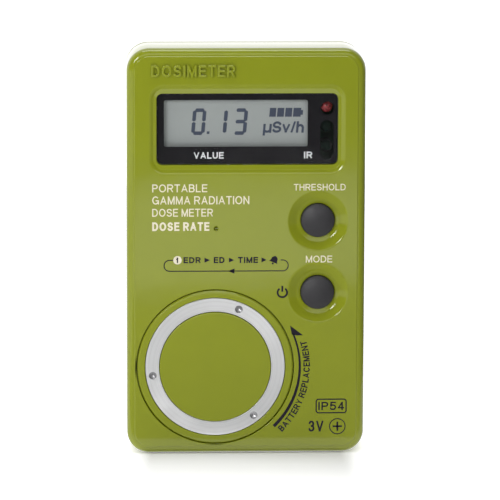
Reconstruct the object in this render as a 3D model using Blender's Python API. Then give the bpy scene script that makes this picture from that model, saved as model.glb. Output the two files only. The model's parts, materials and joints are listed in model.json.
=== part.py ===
"""Personal gamma dosimeter, built as an assembly.

A painted die-cast case carries a display window, two rubber buttons and a screw-in
battery cover. A board inside holds the detector tube, the display and the switches.
A sprung clip is riveted to the rear cover.

Metres, +Z up. The case stands on its flat bottom, whose centre is the origin, and its
front looks along -Y. In comments, front and rear mean towards -Y and +Y.
"""
from math import cos, pi, radians, sin, tau

import bmesh
import bpy
from mathutils import Vector

MM = 0.001

# Case
CASE_WIDTH = 58.0 * MM
CASE_HEIGHT = 100.0 * MM
CASE_DEPTH = 15.0 * MM
CORNER_RADIUS = 5.5 * MM
FRONT_ROUNDOVER = 1.9 * MM
REAR_ROUNDOVER = 0.9 * MM
WALL = 1.6 * MM
FRONT_FACE = -CASE_DEPTH / 2
REAR_FACE = CASE_DEPTH / 2
INNER_FRONT = FRONT_FACE + WALL
RIM_FACE = 5.45 * MM
COVER_PLATE_FACE = 6.2 * MM
GAP = 0.3 * MM

# Screws that hold the rear cover, at the centres of the case's corners
CASE_SCREW_X = 23.6 * MM
CASE_SCREW_INSET_Z = 5.4 * MM
SCREW_RADIUS = 1.0 * MM
PILOT_RADIUS = 1.15 * MM

# Display window and what stands behind it
WINDOW_CENTRE = (0.25 * MM, 80.3 * MM)
WINDOW_SIZE = (44.0 * MM, 17.4 * MM)
WINDOW_CORNER = 1.4 * MM
RECESS_SIZE = (46.7 * MM, 21.0 * MM)
RECESS_DEPTH = 0.6 * MM
WINDOW_THICKNESS = 1.0 * MM
LEDGE_WIDTH = 0.8 * MM
LCD_CENTRE = (-2.3 * MM, 81.3 * MM)
LCD_SIZE = (38.0 * MM, 14.0 * MM)
LCD_FRONT = -4.1 * MM
LCD_THICKNESS = 1.8 * MM
LED_X = 19.55 * MM
LED_RADIUS = 1.45 * MM
LED_HEIGHTS = {"alarm_led": 85.5 * MM, "ir_emitter": 80.8 * MM, "ir_receiver": 75.8 * MM}

# Buttons
BUTTON_X = 17.5 * MM
BUTTON_HEIGHTS = {"threshold": 57.8 * MM, "mode": 40.0 * MM}
BUTTON_RADIUS = 4.18 * MM
BUTTON_HOLE_RADIUS = 4.5 * MM
WELL_RADIUS = 7.25 * MM
WELL_DEPTH = 1.5 * MM
BUTTON_CROWN = 0.4 * MM

# Battery compartment
BATTERY_X = -7.47 * MM
BATTERY_Z = 21.67 * MM
COVER_RADIUS = 19.05 * MM
COVER_HOLE_RADIUS = 19.4 * MM
SKIRT_RADIUS = 17.7 * MM
COLLAR_BORE_RADIUS = 18.0 * MM
COLLAR_RADIUS = 20.7 * MM
RING_OUTER = 17.05 * MM
RING_INNER = 13.73 * MM
KEY_HOLE_CIRCLE = 15.4 * MM
KEY_HOLE_RADIUS = 0.93 * MM
KEY_HOLE_ANGLES = (68, 188, 308)
CELL_RADIUS = 12.25 * MM

# Board and detector
BOARD_FRONT = 2.2 * MM
BOARD_REAR = 3.2 * MM
BOARD_SIZE = (52.4 * MM, 82.8 * MM)
BOARD_CENTRE_Z = 49.8 * MM
BOARD_POSTS = ((-24.2 * MM, 46.0 * MM), (24.2 * MM, 66.5 * MM), (24.0 * MM, 32.0 * MM))
TUBE_Y = -1.7 * MM
TUBE_Z = 56.0 * MM
TUBE_CENTRE_X = -7.3 * MM
TUBE_RADIUS = 2.7 * MM
TUBE_LENGTH = 29.0 * MM

# Clip on the rear cover
PIVOT_Y = 10.0 * MM
PIVOT_Z = 80.0 * MM
PIN_RADIUS = 0.8 * MM
PIN_HOLE_RADIUS = 0.92 * MM
BRACKET_FRONT = 7.75 * MM
BRACKET_REAR = 8.35 * MM
RIVET_HEIGHTS = (73.4 * MM, 84.6 * MM)

COLOURS = {
    # name: (red, green, blue, roughness, metallic)
    "olive_paint": (0.262, 0.292, 0.034, 0.32, 0.0),
    "bare_aluminium": (0.72, 0.72, 0.73, 0.34, 1.0),
    "window_acrylic": (0.02, 0.02, 0.024, 0.06, 0.0),
    "black_foam": (0.02, 0.02, 0.02, 0.9, 0.0),
    "lcd_glass": (0.36, 0.40, 0.385, 0.25, 0.0),
    "black_plastic": (0.03, 0.03, 0.032, 0.5, 0.0),
    "zebra_rubber": (0.45, 0.30, 0.28, 0.7, 0.0),
    "red_lens": (0.55, 0.02, 0.02, 0.12, 0.0),
    "smoked_lens": (0.02, 0.03, 0.03, 0.12, 0.0),
    "dark_rubber": (0.045, 0.043, 0.048, 0.55, 0.0),
    "nitrile_rubber": (0.02, 0.02, 0.02, 0.6, 0.0),
    "cream_plastic": (0.72, 0.66, 0.5, 0.45, 0.0),
    "cell_steel": (0.66, 0.66, 0.66, 0.25, 1.0),
    "white_plastic": (0.75, 0.75, 0.72, 0.5, 0.0),
    "spring_brass": (0.78, 0.58, 0.28, 0.3, 1.0),
    "board_green": (0.02, 0.16, 0.06, 0.4, 0.0),
    "tube_steel": (0.55, 0.56, 0.58, 0.3, 1.0),
    "filter_tin": (0.42, 0.43, 0.45, 0.5, 1.0),
    "ferrite": (0.06, 0.06, 0.065, 0.6, 0.0),
    "capacitor_sleeve": (0.03, 0.05, 0.16, 0.4, 0.0),
    "zinc_steel": (0.6, 0.6, 0.61, 0.35, 1.0),
    "clip_steel": (0.5, 0.5, 0.51, 0.28, 1.0),
}


# ---------------------------------------------------------------- shared tools

def clear_scene():
    """Remove every object that the scene holds."""
    for obj in list(bpy.data.objects):
        bpy.data.objects.remove(obj, do_unlink=True)


def material(name):
    """The named material, made once."""
    found = bpy.data.materials.get(name)
    if found:
        return found
    red, green, blue, roughness, metallic = COLOURS[name]
    made = bpy.data.materials.new(name)
    made.use_nodes = True
    shader = made.node_tree.nodes["Principled BSDF"]
    shader.inputs["Base Color"].default_value = (red, green, blue, 1.0)
    shader.inputs["Roughness"].default_value = roughness
    shader.inputs["Metallic"].default_value = metallic
    made.diffuse_color = (red, green, blue, 1.0)
    return made


def place(name, bm, material_name=None, origin=(0.0, 0.0, 0.0), collection=None):
    """Make an object from a mesh in world coordinates, with its origin at a given point."""
    bmesh.ops.recalc_face_normals(bm, faces=bm.faces)
    bmesh.ops.translate(bm, vec=-Vector(origin), verts=bm.verts)
    mesh = bpy.data.meshes.new(name)
    bm.to_mesh(mesh)
    bm.free()
    mesh.shade_smooth()
    mesh.set_sharp_from_angle(angle=radians(35))
    obj = bpy.data.objects.new(name, mesh)
    obj.location = origin
    (collection or bpy.context.scene.collection).objects.link(obj)
    if material_name:
        mesh.materials.append(material(material_name))
    return obj


def combine(target, label, tools, operation):
    """Cut a group of helper solids from a piece, or join them on, in one Boolean."""
    group = bpy.data.collections.new(f"{target.name}_{label}")
    bpy.context.scene.collection.children.link(group)
    for number, bm in enumerate(tools, 1):
        helper = place(f"{group.name}_{number}", bm, collection=group)
        helper.hide_render = True
        helper.display_type = "WIRE"
    modifier = target.modifiers.new(label, "BOOLEAN")
    modifier.operation = operation
    modifier.operand_type = "COLLECTION"
    modifier.collection = group


def cut(target, label, *tools):
    combine(target, label, tools, "DIFFERENCE")


def join(target, label, *tools):
    combine(target, label, tools, "UNION")


def rounded_outline(size, radius, centre, steps=7):
    """XZ points of a rounded rectangle."""
    points = []
    for side_x, side_z, start in ((1, 1, 0), (-1, 1, 90), (-1, -1, 180), (1, -1, 270)):
        corner_x = centre[0] + side_x * (size[0] / 2 - radius)
        corner_z = centre[1] + side_z * (size[1] / 2 - radius)
        for step in range(steps + 1):
            angle = radians(start + 90 * step / steps)
            points.append((corner_x + radius * cos(angle), corner_z + radius * sin(angle)))
    return points


def case_outline(inset):
    """The case's outline seen from the front, drawn in by an even inset."""
    size = (CASE_WIDTH - 2 * inset, CASE_HEIGHT - 2 * inset)
    return rounded_outline(size, CORNER_RADIUS - inset, (0, CASE_HEIGHT / 2))


def stack(layers, closed=False):
    """A body through outlines of equal length, each at its own depth.

    An open stack has a cap at each end. A closed one returns to its first outline, which
    makes a frame."""
    bm = bmesh.new()
    loops = [[bm.verts.new((x, y, z)) for x, z in outline] for outline, y in layers]
    pairs = list(zip(loops, loops[1:]))
    if closed:
        pairs.append((loops[-1], loops[0]))
    else:
        bm.faces.new(loops[0])
        bm.faces.new(loops[-1])
    for low, high in pairs:
        for i in range(len(low)):
            j = (i + 1) % len(low)
            bm.faces.new((low[i], low[j], high[j], high[i]))
    return bm


def frame(outer, inner, front, rear):
    """A flat frame between two outlines."""
    return stack([(outer, front), (outer, rear), (inner, rear), (inner, front)], closed=True)


def box(x_range, y_range, z_range):
    """A block given by its limits."""
    limits = (x_range, y_range, z_range)
    bm = bmesh.new()
    bmesh.ops.create_cube(bm, size=1.0)
    bmesh.ops.scale(bm, vec=[high - low for low, high in limits], verts=bm.verts)
    bmesh.ops.translate(bm, vec=[(low + high) / 2 for low, high in limits], verts=bm.verts)
    return bm


def turned(profile, centre, axis="Y", steps=40, closed=False):
    """Spin a profile of (radius, place along the axis) points about a line through centre.

    An open profile that stops short of the axis gets a flat cap at that end."""
    x, y, z = centre
    starts = {
        "X": lambda r, along: (along, y + r, z),
        "Y": lambda r, along: (x + r, along, z),
        "Z": lambda r, along: (x + r, y, along),
    }
    directions = {"X": (1, 0, 0), "Y": (0, 1, 0), "Z": (0, 0, 1)}
    bm = bmesh.new()
    verts = [bm.verts.new(starts[axis](r, along)) for r, along in profile]
    pairs = list(zip(verts, verts[1:]))
    if closed:
        pairs.append((verts[-1], verts[0]))
    edges = [bm.edges.new(pair) for pair in pairs]
    bmesh.ops.spin(bm, geom=verts + edges, cent=centre, axis=directions[axis],
                   angle=tau, steps=steps, use_merge=True)
    bmesh.ops.remove_doubles(bm, verts=bm.verts, dist=1e-6)
    bmesh.ops.holes_fill(bm, edges=bm.edges, sides=0)
    return bm


def cylinder(radius, start, end, centre, axis="Y", steps=24):
    """A plain round bar."""
    return turned([(radius, start), (radius, end)], centre, axis, steps)


def ring(inner, outer, start, end, centre, axis="Y", steps=40):
    """A plain round tube."""
    profile = [(inner, start), (outer, start), (outer, end), (inner, end)]
    return turned(profile, centre, axis, steps, closed=True)


def arc(centre, radius, start, end, steps):
    """Points (first, second) along a circular arc, with its angles in degrees."""
    angles = [radians(start + (end - start) * step / steps) for step in range(steps + 1)]
    return [(centre[0] + radius * cos(a), centre[1] + radius * sin(a)) for a in angles]


def plate_across_x(outline, low, high):
    """A flat plate whose (y, z) outline is extruded along X."""
    bm = bmesh.new()
    loops = [[bm.verts.new((x, y, z)) for y, z in outline] for x in (low, high)]
    for i in range(len(outline)):
        j = (i + 1) % len(outline)
        bm.faces.new((loops[0][i], loops[0][j], loops[1][j], loops[1][i]))
    bm.faces.new(loops[0])
    bm.faces.new(loops[1])
    return bm


def strip(stations, thickness):
    """A bent strip of sheet. Each station is (z, y, half width) on its middle surface."""
    bm = bmesh.new()
    loops = []
    for i, (z, y, half_width) in enumerate(stations):
        before = stations[max(i - 1, 0)]
        after = stations[min(i + 1, len(stations) - 1)]
        normal = Vector((0, before[0] - after[0], after[1] - before[1])).normalized()
        middle = Vector((0, y, z))
        offset = normal * thickness / 2
        corners = ((-half_width, -offset), (half_width, -offset),
                   (half_width, offset), (-half_width, offset))
        loops.append([bm.verts.new(middle + Vector((x, 0, 0)) + move) for x, move in corners])
    for low, high in zip(loops, loops[1:]):
        for i in range(4):
            j = (i + 1) % 4
            bm.faces.new((low[i], low[j], high[j], high[i]))
    bm.faces.new(loops[0])
    bm.faces.new(loops[-1])
    return bm


def cross_recess(screw, x, z, face, depth):
    """Two crossed slots in the head of a screw that faces the rear."""
    half_long, half_short = 1.0 * MM, 0.24 * MM
    y_range = (face - depth, face + GAP)
    across = box((x - half_long, x + half_long), y_range, (z - half_short, z + half_short))
    upright = box((x - half_short, x + half_short), y_range, (z - half_long, z + half_long))
    cut(screw, "cross_recess", across, upright)


def screw_places():
    """Centres of the four case screws."""
    heights = (CASE_SCREW_INSET_Z, CASE_HEIGHT - CASE_SCREW_INSET_Z)
    return [(x, z) for z in heights for x in (-CASE_SCREW_X, CASE_SCREW_X)]


# ---------------------------------------------------------------- case

def make_front_shell():
    roundover = arc((FRONT_ROUNDOVER, FRONT_FACE + FRONT_ROUNDOVER), FRONT_ROUNDOVER, 270, 180, 6)
    layers = [(case_outline(inset), y) for inset, y in roundover]
    layers += [
        (case_outline(0), RIM_FACE),
        (case_outline(WALL), RIM_FACE),
        (case_outline(WALL), INNER_FRONT + 0.5 * MM),
        (case_outline(WALL + 0.5 * MM), INNER_FRONT),
    ]
    shell = place("front_shell", stack(layers), "olive_paint")
    join(shell, "bosses", *shell_bosses())
    cut(shell, "window_openings", display_recess(), window_pocket(), display_opening())
    cut(shell, "round_openings", battery_opening(), detector_mark(),
        *(button_well(z) for z in BUTTON_HEIGHTS.values()))
    holes = screw_places() + list(BOARD_POSTS)
    cut(shell, "pilot_holes", *(cylinder(PILOT_RADIUS, -3.0 * MM, 5.0 * MM, (x, 0, z), steps=16)
                                for x, z in holes))


def shell_bosses():
    """Everything cast on the inside of the front wall."""
    root = INNER_FRONT - 0.4 * MM
    pad_size = (WINDOW_SIZE[0] + 4.0 * MM, WINDOW_SIZE[1] + 4.0 * MM)
    pad = rounded_outline(pad_size, 2.0 * MM, WINDOW_CENTRE, 3)
    window_pad = stack([(pad, root), (pad, -4.4 * MM)])
    thread_collar = cylinder(COLLAR_RADIUS, root, -1.8 * MM, (BATTERY_X, 0, BATTERY_Z), steps=48)
    button_bosses = [cylinder(8.6 * MM, root, -4.7 * MM, (BUTTON_X, 0, z), steps=32)
                     for z in BUTTON_HEIGHTS.values()]
    screw_bosses = [cylinder(2.6 * MM, root, 4.4 * MM, (x, 0, z)) for x, z in screw_places()]
    board_posts = [cylinder(2.3 * MM, root, BOARD_FRONT - GAP, (x, 0, z), steps=20)
                   for x, z in BOARD_POSTS]
    return [window_pad, thread_collar, *button_bosses, *screw_bosses, *board_posts]


def display_recess():
    """A shallow recess round the window, with sloped walls and a softened lip."""
    slope = 0.7 * MM
    floor_size = (RECESS_SIZE[0] - 2 * slope, RECESS_SIZE[1] - 2 * slope)
    lip_size = (RECESS_SIZE[0] + 0.5 * MM, RECESS_SIZE[1] + 0.5 * MM)
    lip = rounded_outline(lip_size, 3.45 * MM, WINDOW_CENTRE, 6)
    mouth = rounded_outline(RECESS_SIZE, 3.2 * MM, WINDOW_CENTRE, 6)
    base = rounded_outline(floor_size, 2.5 * MM, WINDOW_CENTRE, 6)
    return stack([(lip, FRONT_FACE - GAP), (lip, FRONT_FACE - 0.02 * MM),
                  (mouth, FRONT_FACE + 0.12 * MM), (base, FRONT_FACE + RECESS_DEPTH)])


def window_pocket():
    """The pocket that seats the window, down to its ledge."""
    size = (WINDOW_SIZE[0] + 0.3 * MM, WINDOW_SIZE[1] + 0.3 * MM)
    outline = rounded_outline(size, WINDOW_CORNER + 0.15 * MM, WINDOW_CENTRE, 4)
    return stack([(outline, FRONT_FACE - GAP), (outline, -5.4 * MM)])


def ledge_outline():
    size = (WINDOW_SIZE[0] - 2 * LEDGE_WIDTH, WINDOW_SIZE[1] - 2 * LEDGE_WIDTH)
    return rounded_outline(size, 0.7 * MM, WINDOW_CENTRE, 3)


def display_opening():
    """The hole inside the ledge, which the display is seen through."""
    return stack([(ledge_outline(), FRONT_FACE - GAP), (ledge_outline(), -4.0 * MM)])


def button_well(z):
    """A conical dish with a soft lip, and the button's hole in its floor."""
    floor = FRONT_FACE + WELL_DEPTH
    profile = [
        (WELL_RADIUS + 0.6 * MM, FRONT_FACE - GAP),
        (WELL_RADIUS + 0.35 * MM, FRONT_FACE - 0.02 * MM),
        (WELL_RADIUS - 0.1 * MM, FRONT_FACE + 0.16 * MM),
        (BUTTON_HOLE_RADIUS + 0.3 * MM, floor - 0.1 * MM),
        (BUTTON_HOLE_RADIUS, floor + 0.1 * MM),
        (BUTTON_HOLE_RADIUS, -4.0 * MM),
    ]
    return turned(profile, (BUTTON_X, 0, z), steps=40)


def battery_opening():
    """The round seat of the cover's flange, and the bore that its skirt screws into."""
    profile = [
        (COVER_HOLE_RADIUS, FRONT_FACE - GAP),
        (COVER_HOLE_RADIUS, -5.0 * MM),
        (COLLAR_BORE_RADIUS, -5.0 * MM),
        (COLLAR_BORE_RADIUS, -1.0 * MM),
    ]
    return turned(profile, (BATTERY_X, 0, BATTERY_Z), steps=48)


def detector_mark():
    """The small dimple over the middle of the detector tube."""
    return cylinder(0.55 * MM, FRONT_FACE - GAP, FRONT_FACE + 0.4 * MM,
                    (TUBE_CENTRE_X, 0, TUBE_Z), steps=16)


def make_rear_cover():
    roundover = arc((REAR_ROUNDOVER, REAR_FACE - REAR_ROUNDOVER), REAR_ROUNDOVER, 180, 90, 4)
    layers = [(case_outline(0), COVER_PLATE_FACE)]
    layers += [(case_outline(inset), y) for inset, y in roundover]
    cover = place("rear_cover", stack(layers), "olive_paint")
    join(cover, "locating_lip", frame(case_outline(WALL + GAP), case_outline(WALL + 1.5 * MM),
                                      4.7 * MM, COVER_PLATE_FACE + 0.4 * MM))
    countersink = [(1.2 * MM, 5.8 * MM), (1.2 * MM, 6.5 * MM), (2.3 * MM, 7.6 * MM)]
    cut(cover, "screw_holes", *(turned(countersink, (x, 0, z), steps=24)
                                for x, z in screw_places()))
    cut(cover, "rivet_holes", *(cylinder(1.15 * MM, 5.8 * MM, 8.0 * MM, (0, 0, z), steps=20)
                                for z in RIVET_HEIGHTS))


def make_case_gasket():
    gasket = frame(case_outline(0.5 * MM), case_outline(1.5 * MM), 5.65 * MM, 6.0 * MM)
    place("case_gasket", gasket, "nitrile_rubber")


def make_case_screws():
    """Countersunk screws from the rear into the corner bosses."""
    head, tip = REAR_FACE - 0.1 * MM, -2.0 * MM
    profile = [(0.6 * MM, tip), (SCREW_RADIUS, tip + 0.5 * MM),
               (SCREW_RADIUS, head - 0.95 * MM), (1.9 * MM, head - 0.12 * MM), (1.9 * MM, head)]
    for number, (x, z) in enumerate(screw_places(), 1):
        screw = place(f"case_screw_{number}", turned(profile, (x, 0, z), steps=20), "zinc_steel")
        cross_recess(screw, x, z, head, 0.55 * MM)


# ---------------------------------------------------------------- display

def make_display_window():
    front = FRONT_FACE + RECESS_DEPTH
    rear = front + WINDOW_THICKNESS
    edge = 0.12 * MM
    inner_size = (WINDOW_SIZE[0] - 2 * edge, WINDOW_SIZE[1] - 2 * edge)
    inner = rounded_outline(inner_size, WINDOW_CORNER - edge, WINDOW_CENTRE, 6)
    outer = rounded_outline(WINDOW_SIZE, WINDOW_CORNER, WINDOW_CENTRE, 6)
    window = stack([(inner, front), (outer, front + edge), (outer, rear)])
    place("display_window", window, "window_acrylic")
    size = (WINDOW_SIZE[0] - 0.1 * MM, WINDOW_SIZE[1] - 0.1 * MM)
    outline = rounded_outline(size, WINDOW_CORNER, WINDOW_CENTRE, 3)
    place("window_seal", frame(outline, ledge_outline(), rear + 0.1 * MM, -5.5 * MM),
          "black_foam")


def make_lcd():
    """The glass, the frame that centres it over the board, and its two rubber connectors."""
    rear = LCD_FRONT + LCD_THICKNESS
    half_x, half_z = LCD_SIZE[0] / 2, LCD_SIZE[1] / 2
    x_range = (LCD_CENTRE[0] - half_x, LCD_CENTRE[0] + half_x)
    z_range = (LCD_CENTRE[1] - half_z, LCD_CENTRE[1] + half_z)
    place("lcd_glass", box(x_range, (LCD_FRONT, rear), z_range), "lcd_glass")

    wall = 0.95 * MM
    outer = rounded_outline((LCD_SIZE[0] + 2 * wall, LCD_SIZE[1] + 2 * wall), 0.8 * MM,
                            LCD_CENTRE, 2)
    holder_rear = BOARD_FRONT - GAP
    holder = place("lcd_holder", stack([(outer, LCD_FRONT), (outer, holder_rear)]),
                   "black_plastic")
    pocket_x = (x_range[0] - 0.2 * MM, x_range[1] + 0.2 * MM)
    pocket_z = (z_range[0] - 0.2 * MM, z_range[1] + 0.2 * MM)
    cut(holder, "glass_pocket", box(pocket_x, (LCD_FRONT - GAP, rear + 0.2 * MM), pocket_z))
    strip_x = (x_range[0] + 1.0 * MM, x_range[1] - 1.0 * MM)
    strip_y = (rear + 0.25 * MM, BOARD_FRONT - 0.25 * MM)
    slot_x = (strip_x[0] - 0.2 * MM, strip_x[1] + 0.2 * MM)
    slots = []
    for name, side in (("upper", 1), ("lower", -1)):
        z = LCD_CENTRE[1] + side * (half_z - 1.3 * MM)
        slots.append(box(slot_x, (rear, BOARD_FRONT), (z - 1.0 * MM, z + 1.0 * MM)))
        place(f"zebra_strip_{name}", box(strip_x, strip_y, (z - 0.8 * MM, z + 0.8 * MM)),
              "zebra_rubber")
    cut(holder, "strip_slots", *slots)


def make_leds():
    """Three domed lamps on legs: the red alarm and the two of the infrared port."""
    tip = -5.5 * MM
    base = -0.9 * MM
    dome = arc((0, tip + LED_RADIUS), LED_RADIUS, 270, 360, 5)
    profile = dome + [(LED_RADIUS, base - 0.8 * MM), (1.6 * MM, base - 0.8 * MM),
                      (1.6 * MM, base)]
    for name, z in LED_HEIGHTS.items():
        finish = "red_lens" if name == "alarm_led" else "smoked_lens"
        led = place(name, turned(profile, (LED_X, 0, z), steps=20), finish)
        legs = []
        for x in (LED_X - 0.8 * MM, LED_X + 0.8 * MM):
            legs.append(box((x - 0.22 * MM, x + 0.22 * MM), (base - 0.2 * MM, BOARD_FRONT - GAP),
                            (z - 0.22 * MM, z + 0.22 * MM)))
        join(led, "legs", *legs)


# ---------------------------------------------------------------- buttons

def make_buttons():
    """Domed rubber buttons, and under each one a tactile switch with its plunger."""
    crown = FRONT_FACE - BUTTON_CROWN
    edge = 0.35 * MM
    shoulder = crown + 1.05 * MM
    dome = [(BUTTON_RADIUS * t, crown + 0.75 * MM * t * t) for t in (0, 0.25, 0.5, 0.75, 0.93)]
    body = [
        (BUTTON_RADIUS, shoulder),
        (BUTTON_RADIUS, -4.4 * MM),
        (5.6 * MM, -4.4 * MM),
        (5.6 * MM, -3.8 * MM),
        (1.9 * MM, -3.8 * MM),
        (1.5 * MM, -3.8 * MM + edge),
        (1.5 * MM, -2.6 * MM),
    ]
    for name, z in BUTTON_HEIGHTS.items():
        centre = (BUTTON_X, 0, z)
        place(f"{name}_button", turned(dome + body, centre, steps=32), "dark_rubber",
              origin=(BUTTON_X, -5.5 * MM, z))
        half = 3.0 * MM
        switch = place(f"{name}_switch_body",
                       box((BUTTON_X - half, BUTTON_X + half), (-1.0 * MM, BOARD_FRONT - GAP),
                           (z - half, z + half)), "black_plastic")
        cut(switch, "plunger_hole", cylinder(1.9 * MM, -1.3 * MM, 0.9 * MM, centre))
        plunger = turned([(1.5 * MM, -2.3 * MM), (1.65 * MM, -2.15 * MM), (1.65 * MM, 0)],
                         centre, steps=24)
        place(f"{name}_switch_plunger", plunger, "cream_plastic",
              origin=(BUTTON_X, -1.0 * MM, z))


# ---------------------------------------------------------------- battery

def make_battery_cover():
    """A flanged disc with a threaded skirt, and the bare ring that its key turns."""
    centre = (BATTERY_X, 0, BATTERY_Z)
    chamfer = 0.3 * MM
    slot = 0.15 * MM
    profile = [
        (RING_INNER - slot, FRONT_FACE),
        (RING_INNER - slot, -6.0 * MM),
        (RING_OUTER + slot, -6.0 * MM),
        (RING_OUTER + slot, FRONT_FACE),
        (COVER_RADIUS - chamfer, FRONT_FACE),
        (COVER_RADIUS, FRONT_FACE + chamfer),
        (COVER_RADIUS, -5.9 * MM),
        (SKIRT_RADIUS, -5.9 * MM),
        (SKIRT_RADIUS, -2.8 * MM),
        (SKIRT_RADIUS - 0.4 * MM, -2.4 * MM),
        (15.6 * MM, -2.4 * MM),
        (15.6 * MM, -5.0 * MM),
    ]
    place("battery_cover", turned(profile, centre, steps=48), "olive_paint", origin=centre)

    front, rear = FRONT_FACE + 0.25 * MM, -6.2 * MM
    edge = 0.1 * MM
    profile = [
        (RING_INNER + edge, front),
        (RING_OUTER - edge, front),
        (RING_OUTER, front + edge),
        (RING_OUTER, rear),
        (RING_INNER, rear),
        (RING_INNER, front + edge),
    ]
    key_ring = place("cover_ring", turned(profile, centre, steps=48, closed=True),
                     "bare_aluminium", origin=centre)
    drill = [(KEY_HOLE_RADIUS, front - GAP), (KEY_HOLE_RADIUS, front + 0.35 * MM),
             (0, front + 0.75 * MM)]
    drills = []
    for angle in KEY_HOLE_ANGLES:
        x = BATTERY_X + KEY_HOLE_CIRCLE * cos(radians(angle))
        z = BATTERY_Z + KEY_HOLE_CIRCLE * sin(radians(angle))
        drills.append(turned(drill, (x, 0, z), steps=16))
    cut(key_ring, "key_holes", *drills)

    seal = turned(arc((18.3 * MM, -5.45 * MM), 0.35 * MM, 0, 300, 5), centre, steps=40,
                  closed=True)
    place("cover_seal", seal, "nitrile_rubber", origin=centre)


def make_battery():
    """The coin cell, its cup and the two contacts."""
    centre = (BATTERY_X, 0, BATTERY_Z)
    profile = [
        (11.9 * MM, -4.7 * MM),
        (CELL_RADIUS, -4.35 * MM),
        (CELL_RADIUS, -0.2 * MM),
        (11.9 * MM, 0.02 * MM),
        (11.3 * MM, 0.02 * MM),
        (11.0 * MM, 0.3 * MM),
    ]
    place("coin_cell", turned(profile, centre, steps=48), "cell_steel")

    wall_in, wall_out = CELL_RADIUS + 0.3 * MM, 13.2 * MM
    cup_profile = [(wall_in, 0.95 * MM), (wall_in, -3.9 * MM),
                   (wall_out, -3.9 * MM), (wall_out, 1.7 * MM)]
    cup = place("battery_cup", turned(cup_profile, centre, steps=48), "white_plastic")
    slot = box((BATTERY_X + 12.0 * MM, BATTERY_X + 14.0 * MM), (-4.5 * MM, 2.0 * MM),
               (BATTERY_Z - 2.4 * MM, BATTERY_Z + 2.4 * MM))
    cut(cup, "contact_slot", slot)

    leaf = box((BATTERY_X + 12.55 * MM, BATTERY_X + 12.85 * MM), (-4.1 * MM, 1.9 * MM),
               (BATTERY_Z - 2.0 * MM, BATTERY_Z + 2.0 * MM))
    place("positive_contact", leaf, "spring_brass")

    half_length = 8.0 * MM
    stations = []
    for step in range(9):
        along = -1 + step / 4
        rise = 0.14 * MM * cos(pi * along / 2)
        stations.append((BATTERY_Z + half_length * along, 0.68 * MM - rise, 2.0 * MM))
    spring = strip(stations, 0.15 * MM)
    bmesh.ops.translate(spring, vec=(BATTERY_X, 0, 0), verts=spring.verts)
    place("negative_contact", spring, "spring_brass")


# ---------------------------------------------------------------- board

def make_board():
    outline = rounded_outline(BOARD_SIZE, 2.0 * MM, (0, BOARD_CENTRE_Z), 3)
    board = place("main_board", stack([(outline, BOARD_FRONT), (outline, BOARD_REAR)]),
                  "board_green")
    head = 5.0 * MM
    underside = head - 1.4 * MM
    tip = -1.5 * MM
    profile = [(0.6 * MM, tip), (SCREW_RADIUS, tip + 0.5 * MM), (SCREW_RADIUS, underside),
               (1.9 * MM, underside), (1.9 * MM, head - 0.4 * MM), (1.5 * MM, head)]
    cut(board, "screw_holes", *(cylinder(1.25 * MM, BOARD_FRONT - GAP, BOARD_REAR + GAP,
                                         (x, 0, z), steps=16) for x, z in BOARD_POSTS))
    for number, (x, z) in enumerate(BOARD_POSTS, 1):
        screw = place(f"board_screw_{number}", turned(profile, (x, 0, z), steps=20),
                      "zinc_steel")
        cross_recess(screw, x, z, head, 0.6 * MM)


def make_detector():
    """The counter tube, its energy-levelling sleeve and the two spring clips it sits in."""
    centre = (0, TUBE_Y, TUBE_Z)
    half = TUBE_LENGTH / 2
    left, right = TUBE_CENTRE_X - half, TUBE_CENTRE_X + half
    pin = 1.4 * MM
    profile = [(0.4 * MM, left - pin), (0.4 * MM, left), (2.2 * MM, left),
               (TUBE_RADIUS, left + 0.6 * MM), (TUBE_RADIUS, right - 0.6 * MM),
               (2.2 * MM, right), (0.4 * MM, right), (0.4 * MM, right + pin)]
    place("gm_tube", turned(profile, centre, "X", steps=24), "tube_steel")
    sleeve = ring(2.95 * MM, 3.5 * MM, TUBE_CENTRE_X - 9.0 * MM, TUBE_CENTRE_X + 9.0 * MM,
                  centre, "X", steps=24)
    place("tube_filter", sleeve, "filter_tin")
    for name, middle in (("left", left + 2.4 * MM), ("right", right - 2.4 * MM)):
        low, high = middle - 1.4 * MM, middle + 1.4 * MM
        clip = place(f"tube_clip_{name}", ring(2.95 * MM, 3.35 * MM, low, high, centre, "X", 24),
                     "spring_brass")
        mouth = box((low - GAP, high + GAP), (TUBE_Y - 4.0 * MM, TUBE_Y - 1.6 * MM),
                    (TUBE_Z - 4.0 * MM, TUBE_Z + 4.0 * MM))
        cut(clip, "mouth", mouth)
        foot = box((low, high), (TUBE_Y + 3.1 * MM, BOARD_FRONT - GAP),
                   (TUBE_Z - 1.7 * MM, TUBE_Z + 1.7 * MM))
        join(clip, "foot", foot)


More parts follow.
